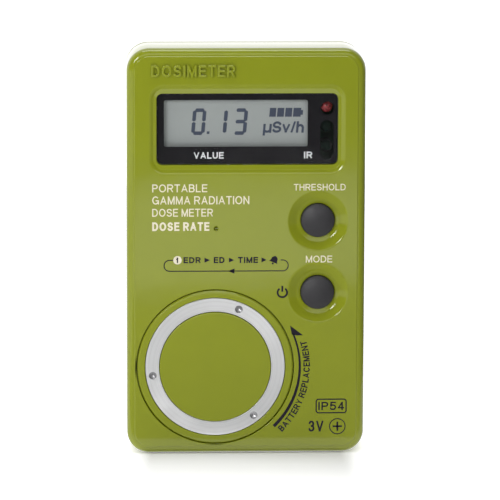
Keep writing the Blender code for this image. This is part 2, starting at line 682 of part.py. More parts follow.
def make_board_parts():
    """The high-voltage parts, the controller, its crystal and the sounder."""
    x, z = 20.0 * MM, 20.5 * MM
    front, rear = -2.8 * MM, BOARD_FRONT - GAP
    core = place("hv_transformer", box((x - 4.5 * MM, x + 4.5 * MM), (front, rear),
                                       (z - 4.0 * MM, z + 4.0 * MM)), "ferrite")
    windows = []
    for middle in (x - 2.75 * MM, x + 2.75 * MM):
        windows.append(box((middle - 0.75 * MM, middle + 0.75 * MM), (front - GAP, rear + GAP),
                           (z - 2.5 * MM, z + 2.5 * MM)))
    cut(core, "windows", *windows)

    capacitor = (20.0 * MM, -0.8 * MM, 0)
    place("hv_capacitor", cylinder(2.4 * MM, 4.6 * MM + 4.2 * MM, 15.4 * MM, capacitor, "Z"),
          "capacitor_sleeve")

    rear_side = BOARD_REAR + GAP
    place("microcontroller", box((-4.0 * MM, 5.0 * MM), (rear_side, rear_side + 0.9 * MM),
                                 (61.0 * MM, 70.0 * MM)), "black_plastic")
    crystal = (0, rear_side + 1.0 * MM, 65.5 * MM)
    place("quartz_crystal", cylinder(1.0 * MM, -14.0 * MM, -8.0 * MM, crystal, "X", 20),
          "tube_steel")
    sounder = turned([(9.0 * MM, rear_side), (9.0 * MM, rear_side + 1.3 * MM),
                      (7.8 * MM, rear_side + 1.3 * MM), (7.8 * MM, rear_side + 0.9 * MM)],
                     (BATTERY_X, 0, BATTERY_Z), steps=36)
    place("piezo_sounder", sounder, "spring_brass")


# ---------------------------------------------------------------- clip

def make_clip_bracket():
    """A riveted base with two ears that carry the clip's pin."""
    base = box((-6.0 * MM, 6.0 * MM), (BRACKET_FRONT, BRACKET_REAR), (70.6 * MM, 87.4 * MM))
    bracket = place("clip_bracket", base, "clip_steel")
    ear = arc((PIVOT_Y, PIVOT_Z), 1.35 * MM, -90, 90, 8)
    ear += [(BRACKET_REAR - 0.3 * MM, PIVOT_Z + 2.6 * MM),
            (BRACKET_REAR - 0.3 * MM, PIVOT_Z - 2.6 * MM)]
    join(bracket, "ears", plate_across_x(ear, -6.0 * MM, -5.2 * MM),
         plate_across_x(ear, 5.2 * MM, 6.0 * MM))
    cut(bracket, "pin_hole",
        cylinder(PIN_HOLE_RADIUS, -7.0 * MM, 7.0 * MM, (0, PIVOT_Y, PIVOT_Z), "X", 16))
    cut(bracket, "rivet_holes", *(cylinder(1.15 * MM, 7.0 * MM, 9.0 * MM, (0, 0, z), steps=20)
                                  for z in RIVET_HEIGHTS))
    for number, z in enumerate(RIVET_HEIGHTS, 1):
        make_rivet(number, z)


def make_rivet(number, z):
    """A round-headed rivet through the bracket and the rear cover."""
    under_head = BRACKET_REAR + 0.2 * MM
    tail = COVER_PLATE_FACE - 0.2 * MM
    profile = [(1.5 * MM, tail - 0.5 * MM), (1.6 * MM, tail), (1.0 * MM, tail),
               (1.0 * MM, under_head), (1.7 * MM, under_head), (1.5 * MM, under_head + 0.35 * MM),
               (0.8 * MM, under_head + 0.6 * MM), (0, under_head + 0.65 * MM)]
    place(f"clip_rivet_{number}", turned(profile, (0, 0, z), steps=20), "zinc_steel")


def make_belt_clip():
    """The sprung lever: thumb pad above the pivot, gripping tip below."""
    pivot = (0, PIVOT_Y, PIVOT_Z)
    stations = [
        # (height, depth of the sheet's middle, half width)
        (93.5 * MM, 13.6 * MM, 6.2 * MM),
        (92.8 * MM, 13.35 * MM, 7.2 * MM),
        (91.0 * MM, 12.85 * MM, 7.8 * MM),
        (88.0 * MM, 12.3 * MM, 8.0 * MM),
        (85.0 * MM, 12.05 * MM, 8.0 * MM),
        (76.0 * MM, 12.05 * MM, 8.0 * MM),
        (73.0 * MM, 11.8 * MM, 7.9 * MM),
        (62.0 * MM, 10.95 * MM, 7.3 * MM),
        (52.0 * MM, 10.15 * MM, 6.7 * MM),
        (48.6 * MM, 9.5 * MM, 6.5 * MM),
        (46.6 * MM, 8.6 * MM, 6.4 * MM),
        (45.2 * MM, 8.35 * MM, 6.3 * MM),
        (43.8 * MM, 8.75 * MM, 6.1 * MM),
        (42.6 * MM, 9.7 * MM, 5.2 * MM),
    ]
    lever = place("belt_clip", strip(stations, 0.9 * MM), "clip_steel", origin=pivot)
    ear = arc((PIVOT_Y, PIVOT_Z), 1.8 * MM, 90, 270, 10)
    ear += [(12.0 * MM, PIVOT_Z - 3.0 * MM), (12.0 * MM, PIVOT_Z + 3.0 * MM)]
    join(lever, "ears", plate_across_x(ear, -7.15 * MM, -6.35 * MM),
         plate_across_x(ear, 6.35 * MM, 7.15 * MM))
    cut(lever, "pin_hole", cylinder(PIN_HOLE_RADIUS, -8.0 * MM, 8.0 * MM, pivot, "X", 16))

    head = 0.45 * MM
    end = 7.35 * MM
    half = [(PIN_RADIUS, end), (1.3 * MM, end), (1.3 * MM, end + 0.1 * MM),
            (1.0 * MM, end + head)]
    profile = [(r, -along) for r, along in reversed(half)] + half
    place("clip_pin", turned(profile, pivot, "X", steps=20), "zinc_steel", origin=pivot)


def make_clip_spring():
    """A torsion spring round the pin, with one leg on the bracket and one on the lever."""
    radius, turns, reach = 1.15 * MM, 4.5, 3.2 * MM
    leg = 6.0 * MM
    points = [(-reach, PIVOT_Y - radius, PIVOT_Z + leg)]
    count = int(turns * 14)
    for step in range(count + 1):
        angle = pi + turns * tau * step / count
        x = -reach + 2 * reach * step / count
        points.append((x, PIVOT_Y + radius * cos(angle), PIVOT_Z + radius * sin(angle)))
    points.append((reach, PIVOT_Y + radius, PIVOT_Z + leg))
    curve = bpy.data.curves.new("clip_spring", "CURVE")
    curve.dimensions = "3D"
    curve.bevel_depth = 0.24 * MM
    curve.bevel_resolution = 1
    curve.use_fill_caps = True
    spline = curve.splines.new("POLY")
    spline.points.add(len(points) - 1)
    for target, point in zip(spline.points, points):
        target.co = (*point, 1.0)
    curve.materials.append(material("zinc_steel"))
    spring = bpy.data.objects.new("clip_spring", curve)
    bpy.context.scene.collection.objects.link(spring)


clear_scene()
make_front_shell()
make_rear_cover()
make_case_gasket()
make_case_screws()
make_display_window()
make_lcd()
make_leds()
make_buttons()
make_battery_cover()
make_battery()
make_board()
make_detector()
make_board_parts()
make_clip_bracket()
make_belt_clip()
make_clip_spring()
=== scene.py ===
"""Looks for the personal gamma dosimeter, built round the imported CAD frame.

Metres, +Z up. The case stands on z = 0 and its front looks along -Y. Outlines are drawn in
the XZ plane, as (x, z), and given a depth y. Profiles, prints and their numbers are in mm.
"""
import json
from math import cos, pi, radians, sin, tan, tau

import bmesh
import bpy
from mathutils import Matrix, Vector


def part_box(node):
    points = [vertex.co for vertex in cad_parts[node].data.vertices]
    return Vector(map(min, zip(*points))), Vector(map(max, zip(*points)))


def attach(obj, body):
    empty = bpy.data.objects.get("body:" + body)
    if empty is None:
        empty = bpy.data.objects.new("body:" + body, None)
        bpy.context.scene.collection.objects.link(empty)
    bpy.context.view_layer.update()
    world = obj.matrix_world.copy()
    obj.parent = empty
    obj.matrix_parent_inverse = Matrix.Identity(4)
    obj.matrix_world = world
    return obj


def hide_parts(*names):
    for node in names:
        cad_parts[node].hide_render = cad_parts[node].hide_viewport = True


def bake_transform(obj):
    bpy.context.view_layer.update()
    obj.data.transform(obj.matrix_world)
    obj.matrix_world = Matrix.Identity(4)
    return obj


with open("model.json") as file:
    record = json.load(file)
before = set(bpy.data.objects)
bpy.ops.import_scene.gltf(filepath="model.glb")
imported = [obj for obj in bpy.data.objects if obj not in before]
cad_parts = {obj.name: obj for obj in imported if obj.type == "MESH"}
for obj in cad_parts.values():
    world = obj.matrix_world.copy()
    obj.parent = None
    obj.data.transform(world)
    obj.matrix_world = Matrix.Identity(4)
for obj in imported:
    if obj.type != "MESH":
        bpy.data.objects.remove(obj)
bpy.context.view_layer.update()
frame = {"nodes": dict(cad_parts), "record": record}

MM = 0.001

# Case, with its depths and wall in mm
CASE_WIDTH, CASE_HEIGHT, CORNER_RADIUS = 58.0 * MM, 100.0 * MM, 5.5 * MM
FACE, REAR = -7.5, 7.5
INNER_FACE, RIM, PLATE_FACE, WALL = -5.9, 5.45, 6.2, 1.6
FRONT = FACE * MM
CORNER_STEPS = 14

# Display
WINDOW_CENTRE = (0.25 * MM, 80.3 * MM)
WINDOW_SIZE = (44.0 * MM, 17.4 * MM)
RECESS_SIZE = (46.7 * MM, 21.0 * MM)
WINDOW_FRONT, WINDOW_REAR = -6.9 * MM, -5.9 * MM
LED_X = 19.55 * MM
LED_HEIGHTS = {"alarm_led": 85.5 * MM, "ir_emitter": 80.8 * MM, "ir_receiver": 75.8 * MM}

# Controls
BUTTON_X = 17.5 * MM
BUTTON_HEIGHTS = {"threshold": 57.8 * MM, "mode": 40.0 * MM}
BATTERY = (-7.47 * MM, 21.67 * MM)
SEAT = -5.0     # the depth of the battery cover's seat, in mm
SCREW_PLACES = [(x * MM, z * MM) for z in (5.4, 94.6) for x in (-23.6, 23.6)]
BOARD_POSTS = [(-24.2 * MM, 46.0 * MM), (24.2 * MM, 66.5 * MM), (24.0 * MM, 32.0 * MM)]
RIVET_HEIGHTS = (73.4 * MM, 84.6 * MM)
PIVOT = (0.0, 10.0 * MM, 80.0 * MM)

# Camera, from a fit to the outline and the circles of the battery cover
EYE = Vector((-40.79, -984.49, 224.35)) * MM
AIM = Vector((1.28, 0.0, 49.353)) * MM
CAMERA_ROLL = radians(0.188)
LENS = 293.85


# ---- outlines and surfaces

def rounded(size, radius, centre, steps=CORNER_STEPS):
    """Points of a rounded rectangle."""
    points = []
    for side_x, side_z, start in ((1, 1, 0), (-1, 1, 90), (-1, -1, 180), (1, -1, 270)):
        corner_x = centre[0] + side_x * (size[0] / 2 - radius)
        corner_z = centre[1] + side_z * (size[1] / 2 - radius)
        for step in range(steps + 1):
            angle = radians(start + 90 * step / steps)
            points.append((corner_x + radius * cos(angle), corner_z + radius * sin(angle)))
    return points


def shrunk(size, radius, centre, inset, steps=CORNER_STEPS):
    """A rounded rectangle drawn in by an even inset."""
    inner = (size[0] - 2 * inset, size[1] - 2 * inset)
    return rounded(inner, max(radius - inset, 0.1 * MM), centre, steps)


def case_outline(inset):
    return shrunk((CASE_WIDTH, CASE_HEIGHT), CORNER_RADIUS, (0, CASE_HEIGHT / 2), inset)


def circle(radius, centre, steps=64):
    return [(centre[0] + radius * cos(tau * i / steps), centre[1] + radius * sin(tau * i / steps))
            for i in range(steps)]


def level(outline, y):
    return [(x, y, z) for x, z in outline]


def soft_path(corners, steps=5):
    """A path through (a, b, radius) corners, each one rounded by its radius."""
    path = []
    for i, (a, b, radius) in enumerate(corners):
        here = Vector((a, b))
        if radius <= 0 or i in (0, len(corners) - 1):
            path.append((a, b))
            continue
        back = (Vector(corners[i - 1][:2]) - here).normalized()
        ahead = (Vector(corners[i + 1][:2]) - here).normalized()
        half = back.angle(ahead) / 2
        centre = here + (back + ahead).normalized() * (radius / sin(half))
        start = here + back * (radius / tan(half)) - centre
        end = here + ahead * (radius / tan(half)) - centre
        turn = start.angle(end)
        for step in range(steps + 1):
            t = step / steps
            point = centre + (start * sin((1 - t) * turn) + end * sin(t * turn)) / sin(turn)
            path.append((point.x, point.y))
    return path


def profile(corners, steps=5):
    """A soft path in metres, from corners in mm."""
    return [(a * MM, b * MM) for a, b in soft_path(corners, steps)]


def skin(bm, loops, closed=False, caps=False):
    """Quads between loops of equal length. Returns the loops' vertices."""
    rows = [[bm.verts.new(point) for point in loop] for loop in loops]
    pairs = list(zip(rows, rows[1:]))
    if closed:
        pairs.append((rows[-1], rows[0]))
    for low, high in pairs:
        for i in range(len(low)):
            j = (i + 1) % len(low)
            bm.faces.new((low[i], low[j], high[j], high[i]))
    if caps:
        bm.faces.new(rows[0])
        bm.faces.new(rows[-1])
    return rows


def fill(bm, *rows):
    """A flat face between closed rows of vertices, the first of which is the outer one."""
    edges = []
    for row in rows:
        for i, vert in enumerate(row):
            after = row[(i + 1) % len(row)]
            edges.append(bm.edges.get((vert, after)) or bm.edges.new((vert, after)))
    bmesh.ops.triangle_fill(bm, use_beauty=True, use_dissolve=False, edges=edges)


def rings(bm, path, centre, steps):
    """The rows of a wall turned about an axis along Y through centre."""
    return skin(bm, [level(circle(max(r, 1e-7), centre, steps), y) for r, y in path])


def turned(path, centre=(0.0, 0.0), steps=64):
    """A body turned about an axis along Y through centre, from (radius, y) points."""
    bm = bmesh.new()
    rows = rings(bm, path, centre, steps)
    for row, (r, _) in ((rows[0], path[0]), (rows[-1], path[-1])):
        if r > 1e-6:
            bm.faces.new(row)
    bmesh.ops.remove_doubles(bm, verts=bm.verts, dist=1e-6)
    return bm


def slab(outline, front, rear, edge=0.0):
    """A plate with an even softened edge. The outline is a function of the inset."""
    bm = bmesh.new()
    inner = edge * 1.5
    path = soft_path([(inner, front, 0), (0, front, edge), (0, rear, edge), (inner, rear, 0)])
    rows = skin(bm, [level(outline(inset), y) for inset, y in path])
    fill(bm, rows[0])
    fill(bm, rows[-1])
    return bm


def piece(name, bm, look, body, stands_for=(), origin=(0, 0, 0), angle=35):
    """Make a piece of the object from a mesh, and let it ride on its body. Where it stands for
    CAD nodes, its look is named after their material slot."""
    bmesh.ops.recalc_face_normals(bm, faces=bm.faces)
    bmesh.ops.translate(bm, vec=-Vector(origin), verts=bm.verts)
    mesh = bpy.data.meshes.new(name)
    bm.to_mesh(mesh)
    bm.free()
    mesh.shade_smooth()
    mesh.set_sharp_from_angle(angle=radians(angle))
    mesh.materials.append(LOOKS[look])
    obj = bpy.data.objects.new(name, mesh)
    obj.location = origin
    bpy.context.scene.collection.objects.link(obj)
    if body:
        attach(obj, body)
    if stands_for:
        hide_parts(*stands_for)
    return obj


def behind(x, z, y):
    """Where the line from the camera through a place on the front face, in mm, meets depth y."""
    share = (y - EYE.y) / (FRONT - EYE.y)
    return (EYE.x + (x * MM - EYE.x) * share, EYE.z + (z * MM - EYE.z) * share)


# ---- materials

class Nodes:
    """The node tree of a material or world."""

    def __init__(self, owner):
        owner.use_nodes = True
        self.tree = owner.node_tree

    def node(self, kind, **values):
        made = self.tree.nodes.new(kind)
        for name, value in values.items():
            setattr(made, name, value)
        return made

    def link(self, source, target):
        self.tree.links.new(source, target)

    def remap(self, source, low, high, start=0.3, end=0.7):
        made = self.node("ShaderNodeMapRange")
        made.inputs["From Min"].default_value = start
        made.inputs["From Max"].default_value = end
        made.inputs["To Min"].default_value = low
        made.inputs["To Max"].default_value = high
        self.link(source, made.inputs["Value"])
        return made.outputs["Result"]


class Look(Nodes):
    """A procedural material on a Principled shader."""

    def __init__(self, name, colour, roughness, metallic=0.0, **sockets):
        self.material = bpy.data.materials.new("look_" + name)
        super().__init__(self.material)
        self.shader = self.tree.nodes["Principled BSDF"]
        self.colour = colour
        self.roughness = roughness
        self.set("Base Color", (*colour, 1.0))
        self.set("Roughness", roughness)
        self.set("Metallic", metallic)
        for socket, value in sockets.items():
            self.set(socket.replace("_", " "), value)
        self.coordinates = self.node("ShaderNodeTexCoord").outputs["Object"]
        self.normal = None

    def set(self, socket, value):
        self.shader.inputs[socket].default_value = value

    def noise(self, size, detail=3.0, stretch=(1, 1, 1), source=None):
        """Noise with features of about the given size."""
        scale = self.node("ShaderNodeVectorMath", operation="MULTIPLY")
        self.link(source or self.coordinates, scale.inputs[0])
        scale.inputs[1].default_value = [s / size for s in stretch]
        made = self.node("ShaderNodeTexNoise")
        made.inputs["Scale"].default_value = 1.0
        made.inputs["Detail"].default_value = detail
        self.link(scale.outputs[0], made.inputs["Vector"])
        return made.outputs["Fac"]

    def vary_colour(self, source, change, tint=(1, 1, 1)):
        """Colour that drifts by a share of itself with a pattern."""
        mix = self.node("ShaderNodeMix", data_type="RGBA")
        mix.inputs[6].default_value = (*(c * (1 - change) for c in self.colour), 1)
        mix.inputs[7].default_value = (*(min(1, c * (1 + change * t)) for c, t in
                                         zip(self.colour, tint)), 1)
        self.link(self.remap(source, 0, 1), mix.inputs[0])
        self.link(mix.outputs[2], self.shader.inputs["Base Color"])

    def vary_roughness(self, source, change):
        low, high = self.roughness * (1 - change), self.roughness * (1 + change)
        self.link(self.remap(source, low, high), self.shader.inputs["Roughness"])

    def bump(self, source, depth):
        made = self.node("ShaderNodeBump")
        made.inputs["Strength"].default_value = 1.0
        made.inputs["Distance"].default_value = depth
        self.link(source, made.inputs["Height"])
        if self.normal:
            self.link(self.normal, made.inputs["Normal"])
        self.normal = made.outputs["Normal"]
        self.link(self.normal, self.shader.inputs["Normal"])


def moulded(name, colour, roughness, grain=0.12, depth=2e-6, change=0.06, metallic=0.0,
            **sockets):
    """Plastic, rubber, ink or plain metal with a fine grain, in mm, and a drift of colour."""
    look = Look(name, colour, roughness, metallic, **sockets)
    look.vary_colour(look.noise(3.0 * MM), change)
    look.vary_roughness(look.noise(1.1 * MM, 4.0), 0.15)
    look.bump(look.noise(grain * MM, 2.0), depth)
    return look.material


def olive_paint():
    """Glossy enamel with a slight orange peel and faint specks."""
    look = Look("olive_paint", (0.208, 0.238, 0.012), 0.1, Specular_IOR_Level=0.5)
    look.vary_colour(look.noise(7.0 * MM, 3.0), 0.018)
    look.vary_roughness(look.noise(0.9 * MM, 4.0), 0.12)
    look.bump(look.noise(8.0 * MM, 1.0), 3e-5)
    look.bump(look.noise(2.4 * MM, 1.0), 5e-6)
    look.bump(look.noise(0.35 * MM, 2.0), 3e-7)
    return look.material


def turned_aluminium():
    """Face-turned aluminium: fine rings about the cover's axis, with painted shade in the key
    holes.
    """
    look = Look("bare_aluminium", (0.88, 0.885, 0.89), 0.34, 0.78, Anisotropic=0.6)
    apart = look.node("ShaderNodeSeparateXYZ")
    look.link(look.coordinates, apart.inputs[0])
    flat = look.node("ShaderNodeCombineXYZ")
    look.link(apart.outputs["X"], flat.inputs["X"])
    look.link(apart.outputs["Z"], flat.inputs["Y"])
    reach = look.node("ShaderNodeVectorMath", operation="LENGTH")
    look.link(flat.outputs[0], reach.inputs[0])
    radial = look.node("ShaderNodeCombineXYZ")
    look.link(reach.outputs["Value"], radial.inputs["X"])
    marks = look.noise(0.24 * MM, 4.0, source=radial.outputs[0])
    cloud = look.noise(1.6 * MM, 3.0)
    look.vary_colour(marks, 0.11)
    look.vary_roughness(cloud, 0.12)
    look.bump(marks, 9e-6)
    # painted shade: the key holes are painted a darker grey inside, below about 0.3 mm deep, for
    # the shade in them
    hole_shade = look.node("ShaderNodeMix", data_type="RGBA")
    look.link(look.shader.inputs["Base Color"].links[0].from_socket, hole_shade.inputs[6])
    hole_shade.inputs[7].default_value = (0.38, 0.38, 0.39, 1)
    look.link(look.remap(apart.outputs["Y"], 0, 1, FRONT + 0.26 * MM, FRONT + 0.42 * MM),
              hole_shade.inputs[0])
    look.link(hole_shade.outputs[2], look.shader.inputs["Base Color"])
    tangent = look.node("ShaderNodeTangent", direction_type="RADIAL", axis="Y")
    look.link(tangent.outputs[0], look.shader.inputs["Tangent"])
    return look.material


def brushed(name, colour, roughness, stretch=(1, 1, 0.03)):
    """Sheet metal with a straight grain."""
    look = Look(name, colour, roughness, 1.0)
    grain = look.noise(0.12 * MM, 3.0, stretch)
    look.vary_colour(grain, 0.04)
    look.vary_roughness(grain, 0.2)
    look.bump(grain, 1.2e-6)
    return look.material


def clear_pane(name, clearness, roughness=0.08, power=5.0, mirror=0.018):
    """Clear plastic: see-through, with a faintly smeared mirror that grows towards grazing."""
    look = Look(name, (1, 1, 1), roughness)
    out = look.tree.nodes["Material Output"]
    see = look.node("ShaderNodeBsdfTransparent")
    see.inputs["Color"].default_value = (*clearness, 1)
    gloss = look.node("ShaderNodeBsdfGlossy")
    gloss.inputs["Color"].default_value = (1, 1, 1, 1)
    smear = look.remap(look.noise(4.0 * MM, 2.0), 0.75 * roughness, 1.25 * roughness)
    look.link(smear, gloss.inputs["Roughness"])
    facing = look.node("ShaderNodeLayerWeight")
    facing.inputs["Blend"].default_value = 0.5
    steep = look.node("ShaderNodeMath", operation="POWER")
    look.link(facing.outputs["Facing"], steep.inputs[0])
    steep.inputs[1].default_value = power
    mix = look.node("ShaderNodeMixShader")
    look.link(look.remap(steep.outputs[0], mirror, 1.0, 0.0, 1.0), mix.inputs[0])
    look.link(see.outputs[0], mix.inputs[1])
    look.link(gloss.outputs[0], mix.inputs[2])
    look.link(mix.outputs[0], out.inputs["Surface"])
    look.tree.nodes.remove(look.shader)
    return look.material


def red_lens_painted_glints():
    """Red diffusing resin, with pale flecks painted into its colour: painted highlights that stand
    in for glints.
    """
    look = Look("red_lens", (0.20, 0.015, 0.018), 0.12)
    # painted highlights: pale flecks in the colour, for glints on the dome
    look.vary_colour(look.noise(0.42 * MM, 3.0), 0.8, (1.1, 3.5, 3.2))
    look.bump(look.noise(0.5 * MM, 2.0), 1e-5)
    return look.material


def lcd_ground():
    """The reflective back of the liquid crystal, with a very fine sparkle."""
    look = Look("lcd_ground", (0.325, 0.345, 0.345), 0.45, Specular_IOR_Level=0.4)
    look.vary_colour(look.noise(0.11 * MM, 2.0), 0.035)
    look.bump(look.noise(0.2 * MM, 2.0), 2e-6)
    return look.material


# colour and roughness, then grain, its depth, drift of colour and metallic
MOULDED = {
    "dark_rubber": ((0.028, 0.027, 0.030), 0.48, 0.22, 5e-6, 0.08),
    "black_plastic": ((0.012, 0.012, 0.013), 0.4),
    "zinc_steel": ((0.42, 0.42, 0.43), 0.32, 0.3, 1.5e-6, 0.06, 1.0),
    "black_foam": ((0.02, 0.02, 0.02), 0.9, 0.25, 3e-5, 0.2),
    "zebra_rubber": ((0.45, 0.30, 0.28), 0.6, 0.1, 4e-6),
    "nitrile_rubber": ((0.018, 0.018, 0.018), 0.5, 0.2, 4e-6),
    "cream_plastic": ((0.72, 0.66, 0.5), 0.4),
    "white_plastic": ((0.75, 0.75, 0.72), 0.42),
    "board_green": ((0.015, 0.13, 0.045), 0.33, 0.5, 6e-6, 0.12),
    "filter_tin": ((0.42, 0.43, 0.45), 0.45, 0.4, 5e-6, 0.12, 1.0),
    "ferrite": ((0.05, 0.05, 0.055), 0.6, 0.15, 8e-6, 0.15),
    "capacitor_sleeve": ((0.02, 0.035, 0.12), 0.3),
    "smoked_lens": ((0.022, 0.045, 0.038), 0.09, 0.4, 1.2e-5, 0.3),
    "cream_ink": ((0.68, 0.63, 0.48), 0.42, 0.2, 1e-6, 0.03),
    "white_ink": ((0.74, 0.75, 0.78), 0.4, 0.2, 1e-6, 0.03),
    "lcd_ink": ((0.042, 0.055, 0.098), 0.4, 0.3, 1e-6, 0.05),
}
LOOKS = {name: moulded(name, *values) for name, values in MOULDED.items()}
LOOKS |= {
    "olive_paint": olive_paint(),
    "bare_aluminium": turned_aluminium(),
    "clip_steel": brushed("clip_steel", (0.36, 0.36, 0.37), 0.33),
    "cell_steel": brushed("cell_steel", (0.68, 0.68, 0.69), 0.24, (1, 1, 0.06)),
    "spring_brass": brushed("spring_brass", (0.78, 0.58, 0.28), 0.26),
    "tube_steel": brushed("tube_steel", (0.55, 0.56, 0.58), 0.25, (0.05, 1, 1)),
    "window_acrylic": clear_pane("window_acrylic", (0.97, 0.975, 0.97)),
    "ir_smoke": clear_pane("ir_smoke", (0.62, 0.68, 0.65)),
    "lcd_glass": lcd_ground(),
    "red_lens": red_lens_painted_glints(),
    "mask_ink": moulded("mask_ink", (0.0105, 0.0095, 0.0120), 0.4, 0.3, 1e-6,
                        Specular_IOR_Level=0.1),
    "black_ink": moulded("black_ink", (0.009, 0.006, 0.015), 0.38, 0.2, 1e-6, 0.1,
                         Specular_IOR_Level=0.3),
}


# ---- case

def make_front_shell():
    bm = bmesh.new()
    outside = profile([
        (2.2, FACE, 0),
        (1.95, FACE, 0.12),
        (1.8, FACE + 0.14, 0.07),
        (0, FACE + 0.14, 1.7),
        (0, RIM, 0.12),
        (WALL, RIM, 0.1),
        (WALL, INNER_FACE, 0),
    ], 8)
    rows = skin(bm, [level(case_outline(inset), y) for inset, y in outside])
    front_rows, inner_rows = [rows[0]], [rows[-1]]

    # display: recess, window pocket, ledge and the pad behind it
    outlines = {
        "recess": (RECESS_SIZE, 3.2 * MM),
        "pocket": ([side + 0.1 * MM for side in WINDOW_SIZE], 1.45 * MM),
        "ledge": ([side - 1.6 * MM for side in WINDOW_SIZE], 0.7 * MM),
        "pad": ([side + 4.0 * MM for side in WINDOW_SIZE], 2.0 * MM),
    }
    recess = profile([
        (-0.8, FACE, 0),
        (-0.45, FACE, 0.3),
        (-0.05, FACE + 0.145, 0.3),
        (0.55, FACE + 0.56, 0.25),
        (1.1, FACE + 0.6, 0),
    ], 7)
    steps = [("recess", inset, y) for inset, y in recess]
    steps += [(kind, 0, y * MM) for kind, y in (
        ("pocket", FACE + 0.64), ("pocket", -5.4), ("ledge", -5.4), ("ledge", -4.4),
        ("pad", -4.4), ("pad", INNER_FACE))]
    rows = skin(bm, [level(shrunk(*outlines[kind], WINDOW_CENTRE, inset), y)
                     for kind, inset, y in steps])
    front_rows.append(rows[0])
    inner_rows.append(rows[-1])

    # button wells, with the pad of each button behind, and the bore for the battery cover
    hole, pad, pad_depth = 4.17, 8.6, -4.7
    well = profile([
        (7.9, FACE, 0),
        (7.25, FACE, 0.9),
        (5.3, FACE + 1.22, 2.0),
        (hole, FACE + 1.45, 0.1),
        (hole, pad_depth, 0),
        (pad, pad_depth, 0),
        (pad, INNER_FACE, 0),
    ], 7)
    collar, collar_end, collar_outside = 18.0, -1.8, 19.85
    bore = profile([
        (19.55, FACE, 0),
        (19.28, FACE, 0.14),
        (19.24, SEAT, 0),
        (collar, SEAT, 0),
        (collar, collar_end, 0),
        (collar_outside, collar_end, 0),
        (collar_outside, INNER_FACE, 0),
    ])
    openings = [(well, (BUTTON_X, z), 96) for z in BUTTON_HEIGHTS.values()]
    for path, centre, around in openings + [(bore, BATTERY, 160)]:
        rows = rings(bm, path, centre, around)
        front_rows.append(rows[0])
        inner_rows.append(rows[-1])

    # the dimple over the detector tube is blind
    mark = profile([(0.75, FACE, 0), (0.55, FACE, 0.1), (0.48, FACE + 1.0, 0.1),
                    (0.05, FACE + 1.2, 0)])
    rows = rings(bm, mark, (-7.3 * MM, 56.0 * MM), 32)
    bm.faces.new(rows[-1])
    front_rows.append(rows[0])

    # blind bosses inside, bored for their screws
    bore_radius, bore_end = 1.15, -3.0
    for places, radius, end in ((SCREW_PLACES, 2.6, 4.4), (BOARD_POSTS, 1.7, 1.9)):
        boss = profile([(bore_radius, bore_end, 0), (bore_radius, end, 0), (radius, end, 0),
                        (radius, INNER_FACE, 0)])
        for centre in places:
            rows = rings(bm, boss, centre, 24)
            bm.faces.new(rows[0])
            inner_rows.append(rows[-1])

    fill(bm, *front_rows)
    fill(bm, *inner_rows)
    piece("case_front", bm, "olive_paint", "case", ["front_shell"], angle=50)


def make_rear_cover():
    bm = bmesh.new()
    lip, lip_inside, lip_end = WALL + 0.3, WALL + 1.5, 4.7
    path = profile([
        (lip_inside, PLATE_FACE, 0),
        (lip_inside, lip_end, 0),
        (lip, lip_end, 0),
        (lip, PLATE_FACE, 0),
        (0, PLATE_FACE, 0.1),
        (0, REAR, 0.9),
        (1.6, REAR, 0),
    ], 7)
    rows = skin(bm, [level(case_outline(inset), y) for inset, y in path])
    inner_rows, outer_rows = [rows[0]], [rows[-1]]
    countersink = profile([(1.2, PLATE_FACE, 0), (1.2, 6.5, 0), (2.15, REAR, 0.08),
                           (2.5, REAR, 0)], 3)
    rivet_hole = profile([(1.15, PLATE_FACE, 0), (1.15, REAR, 0.05), (1.3, REAR, 0)], 3)
    holes = [(centre, countersink) for centre in SCREW_PLACES]
    holes += [((0, z), rivet_hole) for z in RIVET_HEIGHTS]
    for centre, wall in holes:
        rows = rings(bm, wall, centre, 40)
        inner_rows.append(rows[0])
        outer_rows.append(rows[-1])
    fill(bm, *inner_rows)
    fill(bm, *outer_rows)
    piece("case_rear", bm, "olive_paint", "case", ["rear_cover"], angle=50)


make_front_shell()
make_rear_cover()


# ---- display

def ink(front, thickness=0.012 * MM):
    """The straight side of a printed line, as a growth of its half width and a depth."""
    return ((0.0, front), (0.0, front + thickness))


PRINT_FRONT = FRONT - 0.012 * MM
PRINT = ink(PRINT_FRONT)


def make_window():
    outline = lambda inset: shrunk(WINDOW_SIZE, 1.4 * MM, WINDOW_CENTRE, inset, 8)
    piece("window_pane", slab(outline, WINDOW_FRONT, WINDOW_REAR, 0.15 * MM), "window_acrylic",
          "case", ["display_window"])

    # black ink on the pane's back, with openings for the display, the lamp and the port
    front, rear = WINDOW_REAR + 0.02 * MM, WINDOW_REAR + 0.05 * MM

    def opening(low, high, radius, steps):
        (x0, z0), (x1, z1) = behind(*low, front), behind(*high, front)
        return rounded((x1 - x0, z1 - z0), radius, ((x0 + x1) / 2, (z0 + z1) / 2), steps)

    display = opening((-19.98, 76.15), (14.85, 87.52), 0.45 * MM, 5)
    port = opening((17.93, 72.9), (21.13, 82.5), 1.55 * MM, 10)
    lamp = circle(1.62 * MM, behind(19.59, 85.47, front), 40)
    piece("window_mask", pierced((outline(0.1 * MM), display, port, lamp), front, rear),
          "mask_ink", "case")
    piece("port_filter", pierced([port], rear + 0.01 * MM, rear + 0.03 * MM), "ir_smoke",
          "case")


def pierced(outlines, front, rear):
    """A flat sheet between two depths: its outline first, then its openings."""
    bm = bmesh.new()
    edges = [skin(bm, [level(outline, front), level(outline, rear)]) for outline in outlines]
    for end in (0, 1):
        fill(bm, *(rows[end] for rows in edges))
    return bm


def plate(outline, front=PRINT_FRONT, rear=FRONT):
    """A thin printed or etched shape with a closed outline."""
    bm = bmesh.new()
    skin(bm, [level(outline, front), level(outline, rear)], caps=True)
    return bm


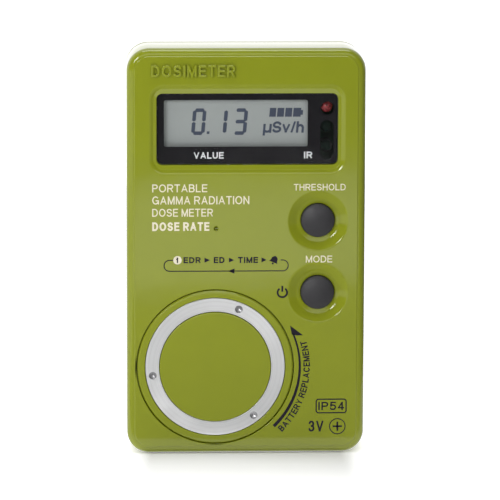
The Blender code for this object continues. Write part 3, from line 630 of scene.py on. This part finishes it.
def sunk(bm, y):
    """A print moved to where the camera sees its place on the front face at depth y."""
    for vert in bm.verts:
        vert.co.x, vert.co.z = behind(vert.co.x / MM, vert.co.z / MM, y)
    return bm


def flat(points):
    """A printed shape from points in mm."""
    return plate([(x * MM, z * MM) for x, z in points])


def merged(parts):
    whole = bmesh.new()
    for part in parts:
        mesh = bpy.data.meshes.new("part")
        part.to_mesh(mesh)
        part.free()
        whole.from_mesh(mesh)
        bpy.data.meshes.remove(mesh)
    return whole


SEGMENTS = {
    # the seven bars of a digit in a box 1 wide and 1 high: centre line and direction
    "a": ((0.0, 1.0), (1.0, 1.0)), "b": ((1.0, 1.0), (1.0, 0.5)), "c": ((1.0, 0.5), (1.0, 0.0)),
    "d": ((0.0, 0.0), (1.0, 0.0)), "e": ((0.0, 0.5), (0.0, 0.0)), "f": ((0.0, 1.0), (0.0, 0.5)),
    "g": ((0.0, 0.5), (1.0, 0.5)),
}
DIGITS = {"0": "abcdef", "1": "bc", "3": "abcdg"}
LEAN = 0.085
BARS_LOW, BARS_HIGH = 83.42, 85.58


def digit_outlines(digit, left, right, low, high, bar=0.88):
    """Outlines, in mm, of a leaning digit's bars."""
    outlines = []
    for name in DIGITS[digit]:
        (x0, z0), (x1, z1) = SEGMENTS[name]
        width, height = right - left - bar - LEAN * (high - low), high - low - bar
        if digit == "1":
            width = 0.0
        start = Vector((left + bar / 2 + x0 * width, low + bar / 2 + z0 * height))
        end = Vector((left + bar / 2 + x1 * width, low + bar / 2 + z1 * height))
        along = (end - start).normalized()
        across = Vector((-along.y, along.x)) * bar / 2
        gap, point = 0.06, bar * 0.28
        start, end = start + along * gap, end - along * gap
        shape = [start, start + along * point + across, end - along * point + across, end,
                 end - along * point - across, start + along * point - across]
        outlines.append([(p.x + LEAN * (p.y - low), p.y) for p in shape])
    return outlines


def make_lcd():
    lcd_front = -4.1 * MM
    low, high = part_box("lcd_glass")
    centre = ((low.x + high.x) / 2, (low.z + high.z) / 2)
    size = (high.x - low.x, high.z - low.z)
    outline = lambda inset: shrunk(size, 0.3 * MM, centre, inset, 4)
    piece("lcd_panel", slab(outline, lcd_front, high.y, 0.1 * MM), "lcd_glass", "case",
          ["lcd_glass"])

    shapes = []
    for digit, left, right in (("0", -13.45, -9.62), ("1", -5.82, -4.8), ("3", -3.45, 0.45)):
        shapes += digit_outlines(digit, left, right, 79.0, 85.5)
    shapes.append([(-9.62, 79.25), (-8.98, 79.25), (-8.94, 79.9), (-9.58, 79.9)])
    lean = lambda x, z: (x + LEAN * (z - BARS_LOW), z)
    for left, right in ((5.5, 7.08), (7.36, 9.02), (9.3, 10.96), (11.24, 13.1)):
        corners = [(left, BARS_LOW), (right, BARS_LOW), (right, BARS_HIGH), (left, BARS_HIGH)]
        if left > 11:
            nub = right + 0.5
            corners[2:2] = [(right, BARS_LOW + 0.45), (nub, BARS_LOW + 0.45),
                            (nub, BARS_HIGH - 0.55), (right, BARS_HIGH - 0.55)]
        shapes.append([lean(x, z) for x, z in corners])
    ink_front = lcd_front - 0.02 * MM
    parts = [plate([behind(x, z, ink_front) for x, z in shape], ink_front, lcd_front - 0.005 * MM)
             for shape in shapes]
    unit = lettering("µSv/h", (3.95, 13.85), (79.5, 82.3), weight=0.2, shear=LEAN,
                     side=ink(ink_front), gap=0.06)
    piece("lcd_segments", merged(parts + [sunk(unit, ink_front)]), "lcd_ink", "case")


# ---- lettering

def stroke(points, width, closed=False, widths=None, side=PRINT):
    """A printed or raised line along points, in mm. Its side goes from the front to the rear,
    as growth of the half width in mm and depth."""
    loops = []
    for i, point in enumerate(points):
        here = Vector(point)
        before = Vector(points[i - 1]) if closed or i else None
        after = Vector(points[(i + 1) % len(points)]) if closed or i < len(points) - 1 else None
        arrive = (here - before).normalized() if before else (after - here).normalized()
        leave = (after - here).normalized() if after else arrive
        along = (arrive + leave).normalized()
        across = Vector((-along.y, along.x)) / max(along.dot(arrive), 0.5)
        half = (widths[i] if widths else width) / 2
        section = [(1, grow, y) for grow, y in side[::-1]] + [(-1, grow, y) for grow, y in side]
        loop = []
        for hand, grow, y in section:
            spot = here + across * hand * (half + grow)
            loop.append((spot.x * MM, y, spot.y * MM))
        loops.append(loop)
    bm = bmesh.new()
    skin(bm, loops, closed, caps=not closed)
    return bm


def bow(x, z, reach_x, reach_z, start, end, steps=10):
    """Points of an elliptical arc."""
    angles = [radians(start + (end - start) * i / steps) for i in range(steps + 1)]
    return [(x + reach_x * cos(angle), z + reach_z * sin(angle)) for angle in angles]


STEM, BAR_LOW, BAR_HIGH = [(0, 0), (0, 1)], [(0, 0), (1, 0)], [(0, 1), (1, 1)]
P_BOWL = [(0, 1), (0.55, 1)] + bow(0.58, 0.735, 0.42, 0.265, 80, -80) + [(0.55, 0.47), (0, 0.47)]
# each letter: its width in cap heights, and centre lines in a box 1 wide and 1 high
LETTERS = {
    "A": (0.90, [[(0, 0), (0.5, 1)], [(0.5, 1), (1, 0)], [(0.18, 0.3), (0.82, 0.3)]]),
    "B": (0.80, [STEM, [(0, 1), (0.55, 1)] + bow(0.58, 0.765, 0.35, 0.235, 80, -80)
                 + [(0.55, 0.53), (0, 0.53)],
                 [(0, 0.53), (0.58, 0.53)] + bow(0.6, 0.265, 0.4, 0.265, 80, -80)
                 + [(0.58, 0), (0, 0)]]),
    "C": (0.90, [bow(0.5, 0.5, 0.5, 0.5, 45, 315, 22)]),
    "D": (0.86, [STEM, [(0, 1), (0.4, 1)] + bow(0.42, 0.5, 0.58, 0.5, 84, -84, 18)
                 + [(0.4, 0), (0, 0)]]),
    "E": (0.74, [STEM, BAR_HIGH, [(0, 0.52), (0.92, 0.52)], BAR_LOW]),
    "G": (0.94, [bow(0.5, 0.5, 0.5, 0.5, 48, 330, 22), [(1, 0.02), (1, 0.42)],
                 [(0.62, 0.45), (1, 0.45)]]),
    "H": (0.82, [STEM, [(1, 0), (1, 1)], [(0, 0.52), (1, 0.52)]]),
    "I": (0.15, [STEM]),
    "L": (0.68, [STEM, BAR_LOW]),
    "M": (0.96, [STEM, [(1, 0), (1, 1)], [(0.03, 1), (0.5, 0)], [(0.97, 1), (0.5, 0)]]),
    "N": (0.82, [STEM, [(1, 0), (1, 1)], [(0.03, 1), (0.97, 0)]]),
    "O": (0.98, [bow(0.5, 0.5, 0.5, 0.5, 0, 360, 32)]),
    "P": (0.77, [STEM, P_BOWL]),
    "R": (0.83, [STEM, P_BOWL, [(0.58, 0.47), (0.96, 0)]]),
    "S": (0.80, [bow(0.5, 0.745, 0.46, 0.255, 22, 262, 14)
                 + bow(0.5, 0.25, 0.5, 0.25, 82, -158, 14)]),
    "T": (0.78, [BAR_HIGH, [(0.5, 0), (0.5, 1)]]),
    "U": (0.82, [[(0, 1)] + bow(0.5, 0.38, 0.5, 0.38, 180, 360, 16) + [(1, 1)]]),
    "V": (0.86, [[(0, 1), (0.5, 0)], [(0.5, 0), (1, 1)]]),
    "Y": (0.86, [[(0, 1), (0.5, 0.42)], [(1, 1), (0.5, 0.42)], [(0.5, 0.42), (0.5, 0)]]),
    "1": (0.42, [[(0.8, 0), (0.8, 1)], [(0.8, 1), (0.1, 0.72)]]),
    "3": (0.70, [bow(0.48, 0.755, 0.45, 0.245, 160, -80, 14),
                 bow(0.48, 0.265, 0.52, 0.265, 80, -162, 14)]),
    "4": (0.72, [[(0.74, 0), (0.74, 1)], [(0.7, 1), (0, 0.27)], [(0, 0.25), (1, 0.25)]]),
    "5": (0.70, [[(0.14, 1), (0.95, 1)], [(0.12, 1), (0.08, 0.52)],
                 bow(0.44, 0.32, 0.56, 0.32, 128, -150, 18)]),
    "µ": (0.74, [[(0, 0.72), (0, -0.3)], bow(0.48, 0.24, 0.48, 0.24, 180, 330, 12),
                 [(1, 0.72), (1, 0)]]),
    "v": (0.70, [[(0, 0.7), (0.5, 0)], [(0.5, 0), (1, 0.7)]]),
    "h": (0.68, [STEM, bow(0.5, 0.4, 0.5, 0.3, 180, 0, 12) + [(1, 0)]]),
    "/": (0.42, [[(0, 0), (1, 1)]]),
}
LETTER_GAP, WORD_GAP = 0.17, 0.20


def lettering(text, x_range, z_range, weight=0.138, shear=0.0, side=PRINT, gap=LETTER_GAP):
    """Text whose capitals fill z_range and whose line fills x_range, in mm."""
    cap, pen = z_range[1] - z_range[0], weight * (z_range[1] - z_range[0])
    widths = [WORD_GAP if c == " " else max(LETTERS[c][0], weight) for c in text]
    stretch = (x_range[1] - x_range[0]) / (sum(widths) + gap * (len(text) - 1))
    spread = max(grow for grow, _ in side)
    x, parts = x_range[0], []
    for letter, share in zip(text, widths):
        width = max(share * stretch, pen)
        for number, line in enumerate(LETTERS[letter][1] if letter != " " else ()):
            points = [(x + pen / 2 + a * (width - pen), z_range[0] + pen / 2 + b * (cap - pen))
                      for a, b in line]
            closed = (Vector(points[0]) - Vector(points[-1])).length < 1e-6
            if closed:
                points.pop()
            else:
                for end, inner in ((0, 1), (-1, -2)):
                    out = (Vector(points[end]) - Vector(points[inner])).normalized() * pen / 2
                    points[end] = tuple(Vector(points[end]) + out)
            # strokes that cross lie at slightly different heights, so no two faces coincide
            lift = 0.003 * MM * number
            bm = stroke(points, pen, closed, side=[(grow, depth - lift) for grow, depth in side])
            bottom = z_range[0] - spread + (min(0, min(b for _, b in line)) * cap)
            for vert in bm.verts:
                vert.co.x = min(max(vert.co.x, (x - spread) * MM), (x + width + spread) * MM)
                vert.co.z = min(max(vert.co.z, bottom * MM), (z_range[1] + spread) * MM)
            parts.append(bm)
        x += (share + gap) * stretch
    whole = merged(parts)
    for vert in whole.verts:
        vert.co.x += shear * (vert.co.z - z_range[0] * MM)
    return whole


def make_prints():
    left, label = -22.82, (47.48, 48.98)
    cream = [
        lettering("PORTABLE", (left, -9.46), (64.98, 66.92)),
        lettering("GAMMA RADIATION", (left, 0.75), (61.98, 64.0)),
        lettering("DOSE METER", (left - 0.01, -8.09), (58.98, 60.92)),
        lettering("DOSE RATE", (left - 0.01, -8.93), (55.46, 57.6), weight=0.21),
        lettering("THRESHOLD", (11.57, 24.18), (65.32, 66.92)),
        lettering("MODE", (14.59, 21.02), (47.53, 49.22)),
        plate(circle(1.03 * MM, (-16.69 * MM, 48.22 * MM), 32)),
    ]
    piece("print_cream", merged(cream), "cream_ink", "case")

    mask = WINDOW_REAR + 0.012 * MM
    white = [sunk(lettering(text, x_range, z_range, weight=0.19, side=ink(mask, 0.006 * MM)), mask)
             for text, x_range, z_range in (("VALUE", (-12.75, -5.5), (73.2, 74.8)),
                                            ("IR", (14.0, 15.98), (73.2, 74.85)))]
    piece("print_white", merged(white), "white_ink", "case")

    # the order of the displays, with the arrows between them and the loop back
    dark = [
        lettering("EDR", (-15.23, -11.04), label, weight=0.22),
        lettering("ED", (-7.85, -5.24), label, weight=0.22),
        lettering("TIME", (-1.96, 2.94), label, weight=0.22),
        lettering("IP54", (17.85, 24.2), (10.72, 12.8), weight=0.17),
        lettering("3V", (15.45, 19.15), (5.35, 8.1), weight=0.17),
        lettering("1", (-17.05, -16.5), (47.55, 48.9), weight=0.22,
                  side=ink(PRINT_FRONT - 0.012 * MM)),
    ]
    for tail, tip in ((-10.12, -8.77), (-4.17, -2.88), (3.77, 4.99)):
        dark.append(flat([(tail, 47.6), (tip, 48.22), (tail, 48.84)]))
    dark.append(flat([(-4.4, 45.5), (-2.80, 46.16), (-2.80, 44.86)]))
    loop = soft_path([(-17.75, 48.2, 0), (-19.95, 48.2, 1.3), (-19.95, 45.5, 1.3),
                      (10.28, 45.5, 1.3), (10.28, 48.2, 1.3), (8.45, 48.2, 0)], 9)
    dark.append(stroke(loop, 0.24))
    # the on/off mark, the bell, the circled plus and the frame
    dark.append(stroke(bow(8.88, 40.12, 1.16, 1.16, 125, 415, 30), 0.46))
    dark.append(stroke([(8.88, 40.3), (8.88, 41.8)], 0.46))
    dark += bell_mark(6.9, 48.28)
    dark.append(stroke(bow(22.55, 6.67, 1.9, 1.9, 0, 360, 48)[:-1], 0.24, closed=True))
    dark.append(stroke([(21.4, 6.67), (23.7, 6.67)], 0.42))
    dark.append(stroke([(22.55, 5.52), (22.55, 7.82)], 0.42))
    dark.append(stroke(rounded((7.35, 3.4), 0.6, (21.0, 11.76), 5), 0.3, closed=True))
    dark.append(turn_arrow())
    dark.append(arc_lettering("BATTERY REPLACEMENT", -44.8, 16.4, 21.6, 23.2))
    piece("print_black", merged(dark), "black_ink", "case")


def bell_mark(x, z):
    """A small tilted bell."""
    tilt = Matrix.Rotation(radians(-22), 2) * 1.15
    body = [(-0.95, -0.62), (0.95, -0.62), (0.72, -0.3), (0.62, 0.35), (0.3, 0.72), (0.0, 0.82),
            (-0.3, 0.72), (-0.62, 0.35), (-0.72, -0.3)]
    clapper = bow(0, -0.9, 0.24, 0.2, 0, 360, 12)[:-1]
    return [flat([(x + (tilt @ Vector(p)).x, z + (tilt @ Vector(p)).y) for p in points])
            for points in (body, clapper)]


def turn_arrow():
    """The curved arrow that shows which way the cover unscrews."""
    x, z = BATTERY[0] / MM, BATTERY[1] / MM
    radius, start, end, steps = 20.72, -46.0, 23.5, 60
    widths = [0.82 - 0.42 * i / steps for i in range(steps + 1)]
    line = stroke(bow(x, z, radius, radius, start, end, steps), 0, widths=widths)
    spots = ((20.95, 29.3), (22.85, 20.0), (21.5, 21.1), (20.35, 23.1))
    head = [(x + r * cos(radians(a)), z + r * sin(radians(a))) for r, a in spots]
    return merged([line, flat(head)])


def arc_lettering(text, start, end, low, high):
    """Text on an arc about the battery cover, its feet outward, read from start to end."""
    reach = (low + high) / 2
    bm = lettering(text, (radians(start) * reach, radians(end) * reach), (0, high - low),
                   weight=0.185, gap=0.14)
    for vert in bm.verts:
        angle, radius = vert.co.x / MM / reach, high * MM - vert.co.z
        vert.co.x = BATTERY[0] + radius * cos(angle)
        vert.co.z = BATTERY[1] + radius * sin(angle)
    return bm


def make_raised_word():
    """The cast name in the top left corner, here a plain word."""
    top = FRONT - 0.7 * MM
    side = ((-0.1, top), (-0.04, top + 0.03 * MM), (0.0, top + 0.16 * MM),
            (0.06, FRONT + 0.02 * MM))
    word = lettering("DOSIMETER", (-23.05, -2.7), (93.15, 96.1), weight=0.2, side=side)
    piece("raised_word", word, "olive_paint", "case", angle=50)


make_window()
make_lcd()
make_prints()
make_raised_word()


# ---- lamps, buttons and cover

def make_lamps():
    for name, z in LED_HEIGHTS.items():
        radius, tip = 1.5 * MM, -5.5 * MM
        lens = "red_lens" if name == "alarm_led" else "smoked_lens"
        path = [(radius * sin(radians(a)), tip + radius - radius * cos(radians(a)))
                for a in range(0, 91, 9)]
        path += [(radius, -1.7 * MM), (1.65 * MM, -1.7 * MM), (1.65 * MM, -0.9 * MM)]
        legs = [slab(lambda inset, x=x, z=z: shrunk((0.44 * MM, 0.44 * MM), 0.05 * MM, (x, z),
                                                    inset, 2), -1.0 * MM, 1.9 * MM, 0.02 * MM)
                for x in (LED_X - 0.8 * MM, LED_X + 0.8 * MM)]
        piece(f"{name}_lens", turned(path, (LED_X, z), 40), lens, "case", [name])
        piece(f"{name}_legs", merged(legs), "zinc_steel", "case")


def make_buttons():
    radius, crown, count = 4.08, FACE - 0.4, 12
    dome = [(radius * 0.94 * i / count, crown + 0.8 * (i / count) ** 2, 0)
            for i in range(count + 1)]
    flange, flange_front, flange_rear = 5.6, -4.4, -3.8
    path = profile(dome + [
        (radius, crown + 1.02, 0.16),
        (radius, flange_front, 0.1),
        (flange, flange_front, 0.1),
        (flange, flange_rear, 0.1),
        (1.9, flange_rear, 0.1),
        (1.5, -3.4, 0.1),
        (1.5, -2.6, 0),
    ])
    for name, z in BUTTON_HEIGHTS.items():
        piece(f"{name}_cap", turned(path, (BUTTON_X, z), 72), "dark_rubber", f"{name}_button",
              [f"{name}_button"], angle=40)


def make_cover():
    slot, slot_floor = 0.15, -6.0
    ring_in, ring_out = 13.73, 17.05
    rim, skirt, skirt_in, skirt_end = 19.05, 17.7, 15.6, -2.4
    path = profile([(r, FACE, 0) for r in (0, 4, 8, 12)]) + profile([
        (13.2, FACE, 0),
        (ring_in - slot, FACE, 0.1),
        (ring_in - slot, slot_floor, 0),
        (ring_out + slot, slot_floor, 0),
        (ring_out + slot, FACE, 0.1),
        (18.3, FACE, 0),
        (18.72, FACE, 0.2),
        (rim, FACE + 0.3, 0.12),
        (rim, -5.9, 0.1),
        (skirt, -5.9, 0),
        (skirt, skirt_end, 0.3),
        (skirt_in, skirt_end, 0.2),
        (skirt_in, SEAT, 0.2),
        (0, SEAT, 0),
    ], 6)
    origin = (BATTERY[0], 0, BATTERY[1])
    piece("cover_disc", turned(path, BATTERY, 160), "olive_paint", "battery_cover",
          ["battery_cover"], origin, angle=50)

    front, rear = FACE + 0.2, -6.2
    walls = [(profile([(edge + inward, front, 0), (edge, front, 0.08), (edge, rear, 0)], 4),
              BATTERY, 160) for edge, inward in ((ring_out, -0.2), (ring_in, 0.2))]
    key_hole = profile([(1.02, front, 0), (0.94, front, 0.04), (0.9, front + 0.5, 0.05),
                        (0.02, front + 0.95, 0)])
    for angle in (68, 188, 308):
        centre = (BATTERY[0] + 15.4 * MM * cos(radians(angle)),
                  BATTERY[1] + 15.4 * MM * sin(radians(angle)))
        walls.append((key_hole, centre, 32))
    bm = bmesh.new()
    fronts, rears = [], []
    for wall, centre, around in walls:
        rows = rings(bm, wall, centre, around)
        fronts.append(rows[0])
        if wall is key_hole:
            bm.faces.new(rows[-1])
        else:
            rears.append(rows[-1])
    fill(bm, *fronts)
    fill(bm, *rears)
    piece("key_ring", bm, "bare_aluminium", "battery_cover", ["cover_ring"], origin)


make_lamps()
make_buttons()
make_cover()


# ---- clip

def sheet_strip(stations, thickness, edge):
    """A bent strip of sheet with softened edges, from (z, y, half width) on its middle."""
    smooth = []
    for i in range(len(stations) - 1):
        p0, p1 = Vector(stations[max(i - 1, 0)]), Vector(stations[i])
        p2, p3 = Vector(stations[i + 1]), Vector(stations[min(i + 2, len(stations) - 1)])
        for step in range(6):
            t = step / 6
            smooth.append(0.5 * (2 * p1 + (p2 - p0) * t + (2 * p0 - 5 * p1 + 4 * p2 - p3) * t * t
                                 + (3 * p1 - p0 - 3 * p2 + p3) * t ** 3))
    smooth.append(Vector(stations[-1]))
    loops = []
    for i, (z, y, half) in enumerate(smooth):
        before, after = smooth[max(i - 1, 0)], smooth[min(i + 1, len(smooth) - 1)]
        normal = Vector((0, before[0] - after[0], after[1] - before[1])).normalized()
        middle = Vector((0, y, z))
        section = rounded((2 * half, thickness), edge, (0, 0), 4)
        loops.append([middle + Vector((a, 0, 0)) + normal * b for a, b in section])
    bm = bmesh.new()
    skin(bm, loops, caps=True)
    return bm


def ear(radius, foot, side, inner, outer, drop, hole=0.92, steps=24):
    """A bored lug round the pivot, seen along X, that reaches to the sheet at depth foot."""
    y, z = PIVOT[1] / MM, PIVOT[2] / MM
    ahead = foot < y
    start, sign = (-90, 1) if ahead else (90, -1)
    lug = bow(y, z, radius, radius, start, start + 180, steps)
    lug += [(foot, z + sign * drop), (foot, z - sign * drop)]
    bore = bow(y, z, hole, hole, 0, 360, steps)[:-1]
    bm = bmesh.new()
    ends = [skin(bm, [[(side * x * MM, a * MM, b * MM) for a, b in outline]
                      for x in (inner, outer)]) for outline in (lug, bore)]
    fill(bm, ends[0][0], ends[1][0])
    fill(bm, ends[0][1], ends[1][1])
    return bm


def make_clip():
    stations = [(93.5, 13.6, 5.6), (93.1, 13.45, 6.9), (92.2, 13.2, 7.55), (91.0, 12.85, 7.85),
                (88.0, 12.3, 8.0), (85.0, 12.05, 8.0), (80.5, 12.05, 8.0), (76.0, 12.05, 8.0),
                (73.0, 11.8, 7.9), (67.0, 11.35, 7.6), (62.0, 10.95, 7.3), (52.0, 10.15, 6.7),
                (48.6, 9.5, 6.5), (46.6, 8.6, 6.4), (45.2, 8.35, 6.3), (43.8, 8.75, 6.1),
                (42.9, 9.45, 5.6), (42.6, 9.7, 5.0)]
    stations = [tuple(v * MM for v in station) for station in stations]
    lever = [sheet_strip(stations, 0.9 * MM, 0.2 * MM)]
    for side in (-1, 1):
        lever.append(ear(1.8, 12.0, side, 6.35, 7.15, 3.0))
    # pressed ribs on the thumb pad, for grip
    end, thick = 5.2, 0.34
    rib = profile([(0.01, end, 0), (thick, end, 0.2), (thick, -end, 0.2), (0.01, -end, 0)], 4)
    quarter = Matrix.Rotation(pi / 2, 3, "Z")
    for z, y in ((90.9, 13.28), (89.4, 13.0), (87.9, 12.74), (86.4, 12.58)):
        bm = turned(rib, (0, 0), 16)
        bmesh.ops.rotate(bm, cent=(0, 0, 0), matrix=quarter, verts=bm.verts)
        bmesh.ops.translate(bm, vec=(0, (y - 0.12) * MM, z * MM), verts=bm.verts)
        lever.append(bm)
    piece("clip_lever", merged(lever), "clip_steel", "belt_clip", ["belt_clip"], PIVOT)

    outline = lambda inset: shrunk((12.0 * MM, 16.8 * MM), 1.4 * MM, (0, 79.0 * MM), inset, 6)
    base = bmesh.new()
    low, high = 7.75, 8.35
    path = profile([(0.3, low, 0), (0, low, 0.1), (0, high, 0.15), (0.3, high, 0)], 4)
    rows = skin(base, [level(outline(inset), y) for inset, y in path])
    lows, highs = [rows[0]], [rows[-1]]
    for z in RIVET_HEIGHTS:
        rows = rings(base, [(1.15 * MM, low * MM), (1.15 * MM, high * MM)], (0, z), 32)
        lows.append(rows[0])
        highs.append(rows[1])
    fill(base, *lows)
    fill(base, *highs)
    bracket = [base] + [ear(1.35, 8.2, side, 5.2, 6.0, 2.6) for side in (-1, 1)]
    piece("clip_base", merged(bracket), "clip_steel", "case", ["clip_bracket"])

    shank, foot, head = 1.0, 6.0, 8.55
    path = profile([(0, 5.5, 0), (1.5, 5.5, 0.1), (1.6, foot, 0.05), (shank, foot, 0),
                    (shank, head, 0), (1.75, head, 0.05)])
    dome = bow(0, head + 0.02, 1.72, 0.62, 8, 88, 10) + [(0, head + 0.64)]
    path += [(r * MM, y * MM) for r, y in dome]
    for number, z in enumerate(RIVET_HEIGHTS, 1):
        piece(f"rivet_{number}", turned(path, (0, z), 40), "zinc_steel", "case",
              [f"clip_rivet_{number}"])


def make_spring():
    """The torsion spring of the clip, drawn at rest; on the real clip it winds up as the clip
    opens.
    """
    radius, wire, leg = 1.15 * MM, 0.24 * MM, 6.0 * MM
    reach, turns, count = 3.2 * MM, 4.5, 108
    path = [Vector((-reach, PIVOT[1] - radius, PIVOT[2] + leg * (1 - i / 6))) for i in range(6)]
    for step in range(count + 1):
        angle = pi + turns * tau * step / count
        path.append(Vector((-reach + 2 * reach * step / count, PIVOT[1] + radius * cos(angle),
                            PIVOT[2] + radius * sin(angle))))
    path += [Vector((reach, PIVOT[1] + radius, PIVOT[2] + leg * i / 6)) for i in range(1, 7)]
    loops = []
    side = Vector((1, 0, 0))
    for i, point in enumerate(path):
        along = (path[min(i + 1, len(path) - 1)] - path[max(i - 1, 0)]).normalized()
        side = (side - along * side.dot(along)).normalized()
        up = along.cross(side)
        loops.append([point + side * a + up * b for a, b in circle(wire, (0, 0), 10)])
    bm = bmesh.new()
    skin(bm, loops, caps=True)
    spring = piece("torsion_spring", bm, "zinc_steel", None)
    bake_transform(spring)
    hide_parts("clip_spring")


make_clip()
make_spring()


# ---- CAD nodes that stay

def dress_nodes():
    """Give every CAD node the finish of its material slot."""
    slots = {part["node"]: part["material_slot"] for part in frame["record"]["subparts"]}
    for name, obj in frame["nodes"].items():
        finish = LOOKS[slots[name]]
        for material_slot in obj.material_slots:
            material_slot.material = finish
        if not obj.material_slots:
            obj.data.materials.append(finish)


dress_nodes()


# ---- stage, light and camera

def glow(name, size, place, strength, aim=(0, 0, 0.05)):
    """A soft box."""
    light = bpy.data.lights.new(name, "AREA")
    light.shape = "RECTANGLE"
    light.size, light.size_y = size
    light.energy = strength
    obj = bpy.data.objects.new(name, light)
    obj.location = place
    obj.rotation_mode = "QUATERNION"
    obj.rotation_quaternion = (Vector(aim) - Vector(place)).to_track_quat("-Z", "Y")
    bpy.context.scene.collection.objects.link(obj)


def stage_sheet(name, corners, material):
    """A flat sheet that isn't part of the object."""
    mesh = bpy.data.meshes.new(name)
    mesh.from_pydata(corners, [], [range(len(corners))])
    mesh.materials.append(material)
    obj = bpy.data.objects.new(name, mesh)
    bpy.context.scene.collection.objects.link(obj)
    return obj


def card(name, corners, strength, height=0.001):
    """A bright card flat on the table that only polished surfaces see."""
    made = bpy.data.materials.new(name)
    nodes = Nodes(made)
    nodes.tree.nodes.remove(nodes.tree.nodes["Principled BSDF"])
    shine = nodes.node("ShaderNodeEmission")
    shine.inputs["Color"].default_value = (1, 1, 1, 1)
    shine.inputs["Strength"].default_value = strength
    nodes.link(shine.outputs[0], nodes.tree.nodes["Material Output"].inputs["Surface"])
    obj = stage_sheet(name, [(x, y, height) for x, y in corners], made)
    obj.visible_camera = obj.visible_diffuse = obj.visible_shadow = False
    obj.visible_transmission = obj.visible_volume_scatter = False


def make_floor(reach=6.0):
    look = Look("floor", (0.8, 0.8, 0.8), 0.6, Specular_IOR_Level=0.0)
    look.vary_roughness(look.noise(40 * MM), 0.1)

    def step(operation, source, *value):
        made = look.node("ShaderNodeVectorMath", operation=operation)
        look.link(source, made.inputs[0])
        if value:
            made.inputs[1].default_value = value
        return made.outputs["Value" if operation == "LENGTH" else 0]

    # white paper lit from below, except close to the case, where its shade shows
    beyond = step("SUBTRACT", step("ABSOLUTE", look.coordinates), 23 * MM, 2 * MM, 0)
    gap = step("LENGTH", step("MULTIPLY", step("MAXIMUM", beyond, 0, 0, 0), 10, 1, 0))
    look.link(look.remap(gap, 0.0, 0.8, 4 * MM, 60 * MM), look.shader.inputs["Emission Strength"])
    look.set("Emission Color", (1, 1, 1, 1))
    corners = [(-reach, -reach, 0), (reach, -reach, 0), (reach, reach, 0), (-reach, reach, 0)]
    stage_sheet("floor", corners, look.material).visible_glossy = False


def make_cards():
    """What polished faces mirror. The front face sees a narrow strip of the table ahead of it,
    with one pale card on it, and the rounded edges see the pale table beside and below."""
    for name, left, right, near, far, strength in (
            ("table_left", -1.5, -0.1, 0.4, -0.8, 0.95),
            ("table_right", 0.1, 1.5, 0.4, -0.8, 0.25),
            ("table_near", -0.1, 0.1, 0.4, -0.02, 1.25),
            ("table_front", -0.1, 0.1, -0.02, -0.24, 0.35)):
        card(name, [(left, near), (right, near), (right, far), (left, far)], strength)
    card("front_card", [(-0.1, -0.20), (0.1, -0.236), (0.1, -0.44), (0.01, -0.435),
                        (-0.018, -0.42), (-0.026, -0.38), (-0.1, -0.37)], 1.5, height=0.002)


def make_flag(x=0.07, near=-0.075, far=0.25, top=0.3):
    """A black flag that keeps stray light off the right side."""
    flag = stage_sheet("flag", [(x, near, 0), (x, far, 0), (x, far, top), (x, near, top)],
                       LOOKS["black_plastic"])
    flag.visible_camera = flag.visible_glossy = flag.visible_transmission = False


def make_world():
    """A white room, brighter behind and to the left, that the camera sees as plain white."""
    world = bpy.data.worlds.new("studio")
    bpy.context.scene.world = world
    nodes = Nodes(world)
    ground = nodes.tree.nodes["Background"]
    ground.inputs["Color"].default_value = (1, 1, 1, 1)
    apart = nodes.node("ShaderNodeSeparateXYZ")
    nodes.link(nodes.node("ShaderNodeTexCoord").outputs["Generated"], apart.inputs[0])
    path = nodes.node("ShaderNodeLightPath")

    def either(chooser, no):
        mix = nodes.node("ShaderNodeMix", data_type="FLOAT")
        nodes.link(path.outputs[chooser], mix.inputs[0])
        nodes.link(no, mix.inputs[2])
        return mix

    lit = either("Is Glossy Ray", nodes.remap(apart.outputs["X"], 0.47, 0.04, -0.6, 0.8))
    nodes.link(nodes.remap(apart.outputs["Y"], 0.04, 1.65, -0.35, 0.35), lit.inputs[3])
    seen = either("Is Camera Ray", lit.outputs[0])
    seen.inputs[3].default_value = 1.5
    nodes.link(seen.outputs[0], ground.inputs["Strength"])


def make_lights():
    glow("key", (0.32, 0.32), (-0.60, -1.12, 0.48), 5.4)
    glow("front_fill", (1.0, 0.6), (0.15, -1.25, 0.62), 2.8)
    glow("left_strip", (0.25, 0.9), (-1.3, -0.1, 0.35), 0.35)
    glow("top", (0.9, 0.5), (0.0, -0.15, 1.2), 7.0, aim=(0, 0, 0))


def make_camera():
    back = (EYE - AIM).normalized()
    right = (-back).cross(Vector((0, 0, 1))).normalized()
    up = right.cross(-back)
    right, up = (right * cos(CAMERA_ROLL) + up * sin(CAMERA_ROLL),
                 up * cos(CAMERA_ROLL) - right * sin(CAMERA_ROLL))
    data = bpy.data.cameras.new("camera")
    data.sensor_width = 36.0
    data.lens = LENS
    data.clip_start, data.clip_end = 0.05, 30.0
    camera = bpy.data.objects.new("camera", data)
    camera.matrix_world = Matrix.Translation(EYE) @ Matrix((right, up, back)).transposed().to_4x4()
    bpy.context.scene.collection.objects.link(camera)
    bpy.context.scene.camera = camera


make_floor()
make_cards()
make_flag()
make_world()
make_lights()
make_camera()
bpy.context.scene.view_settings.view_transform = "Standard"
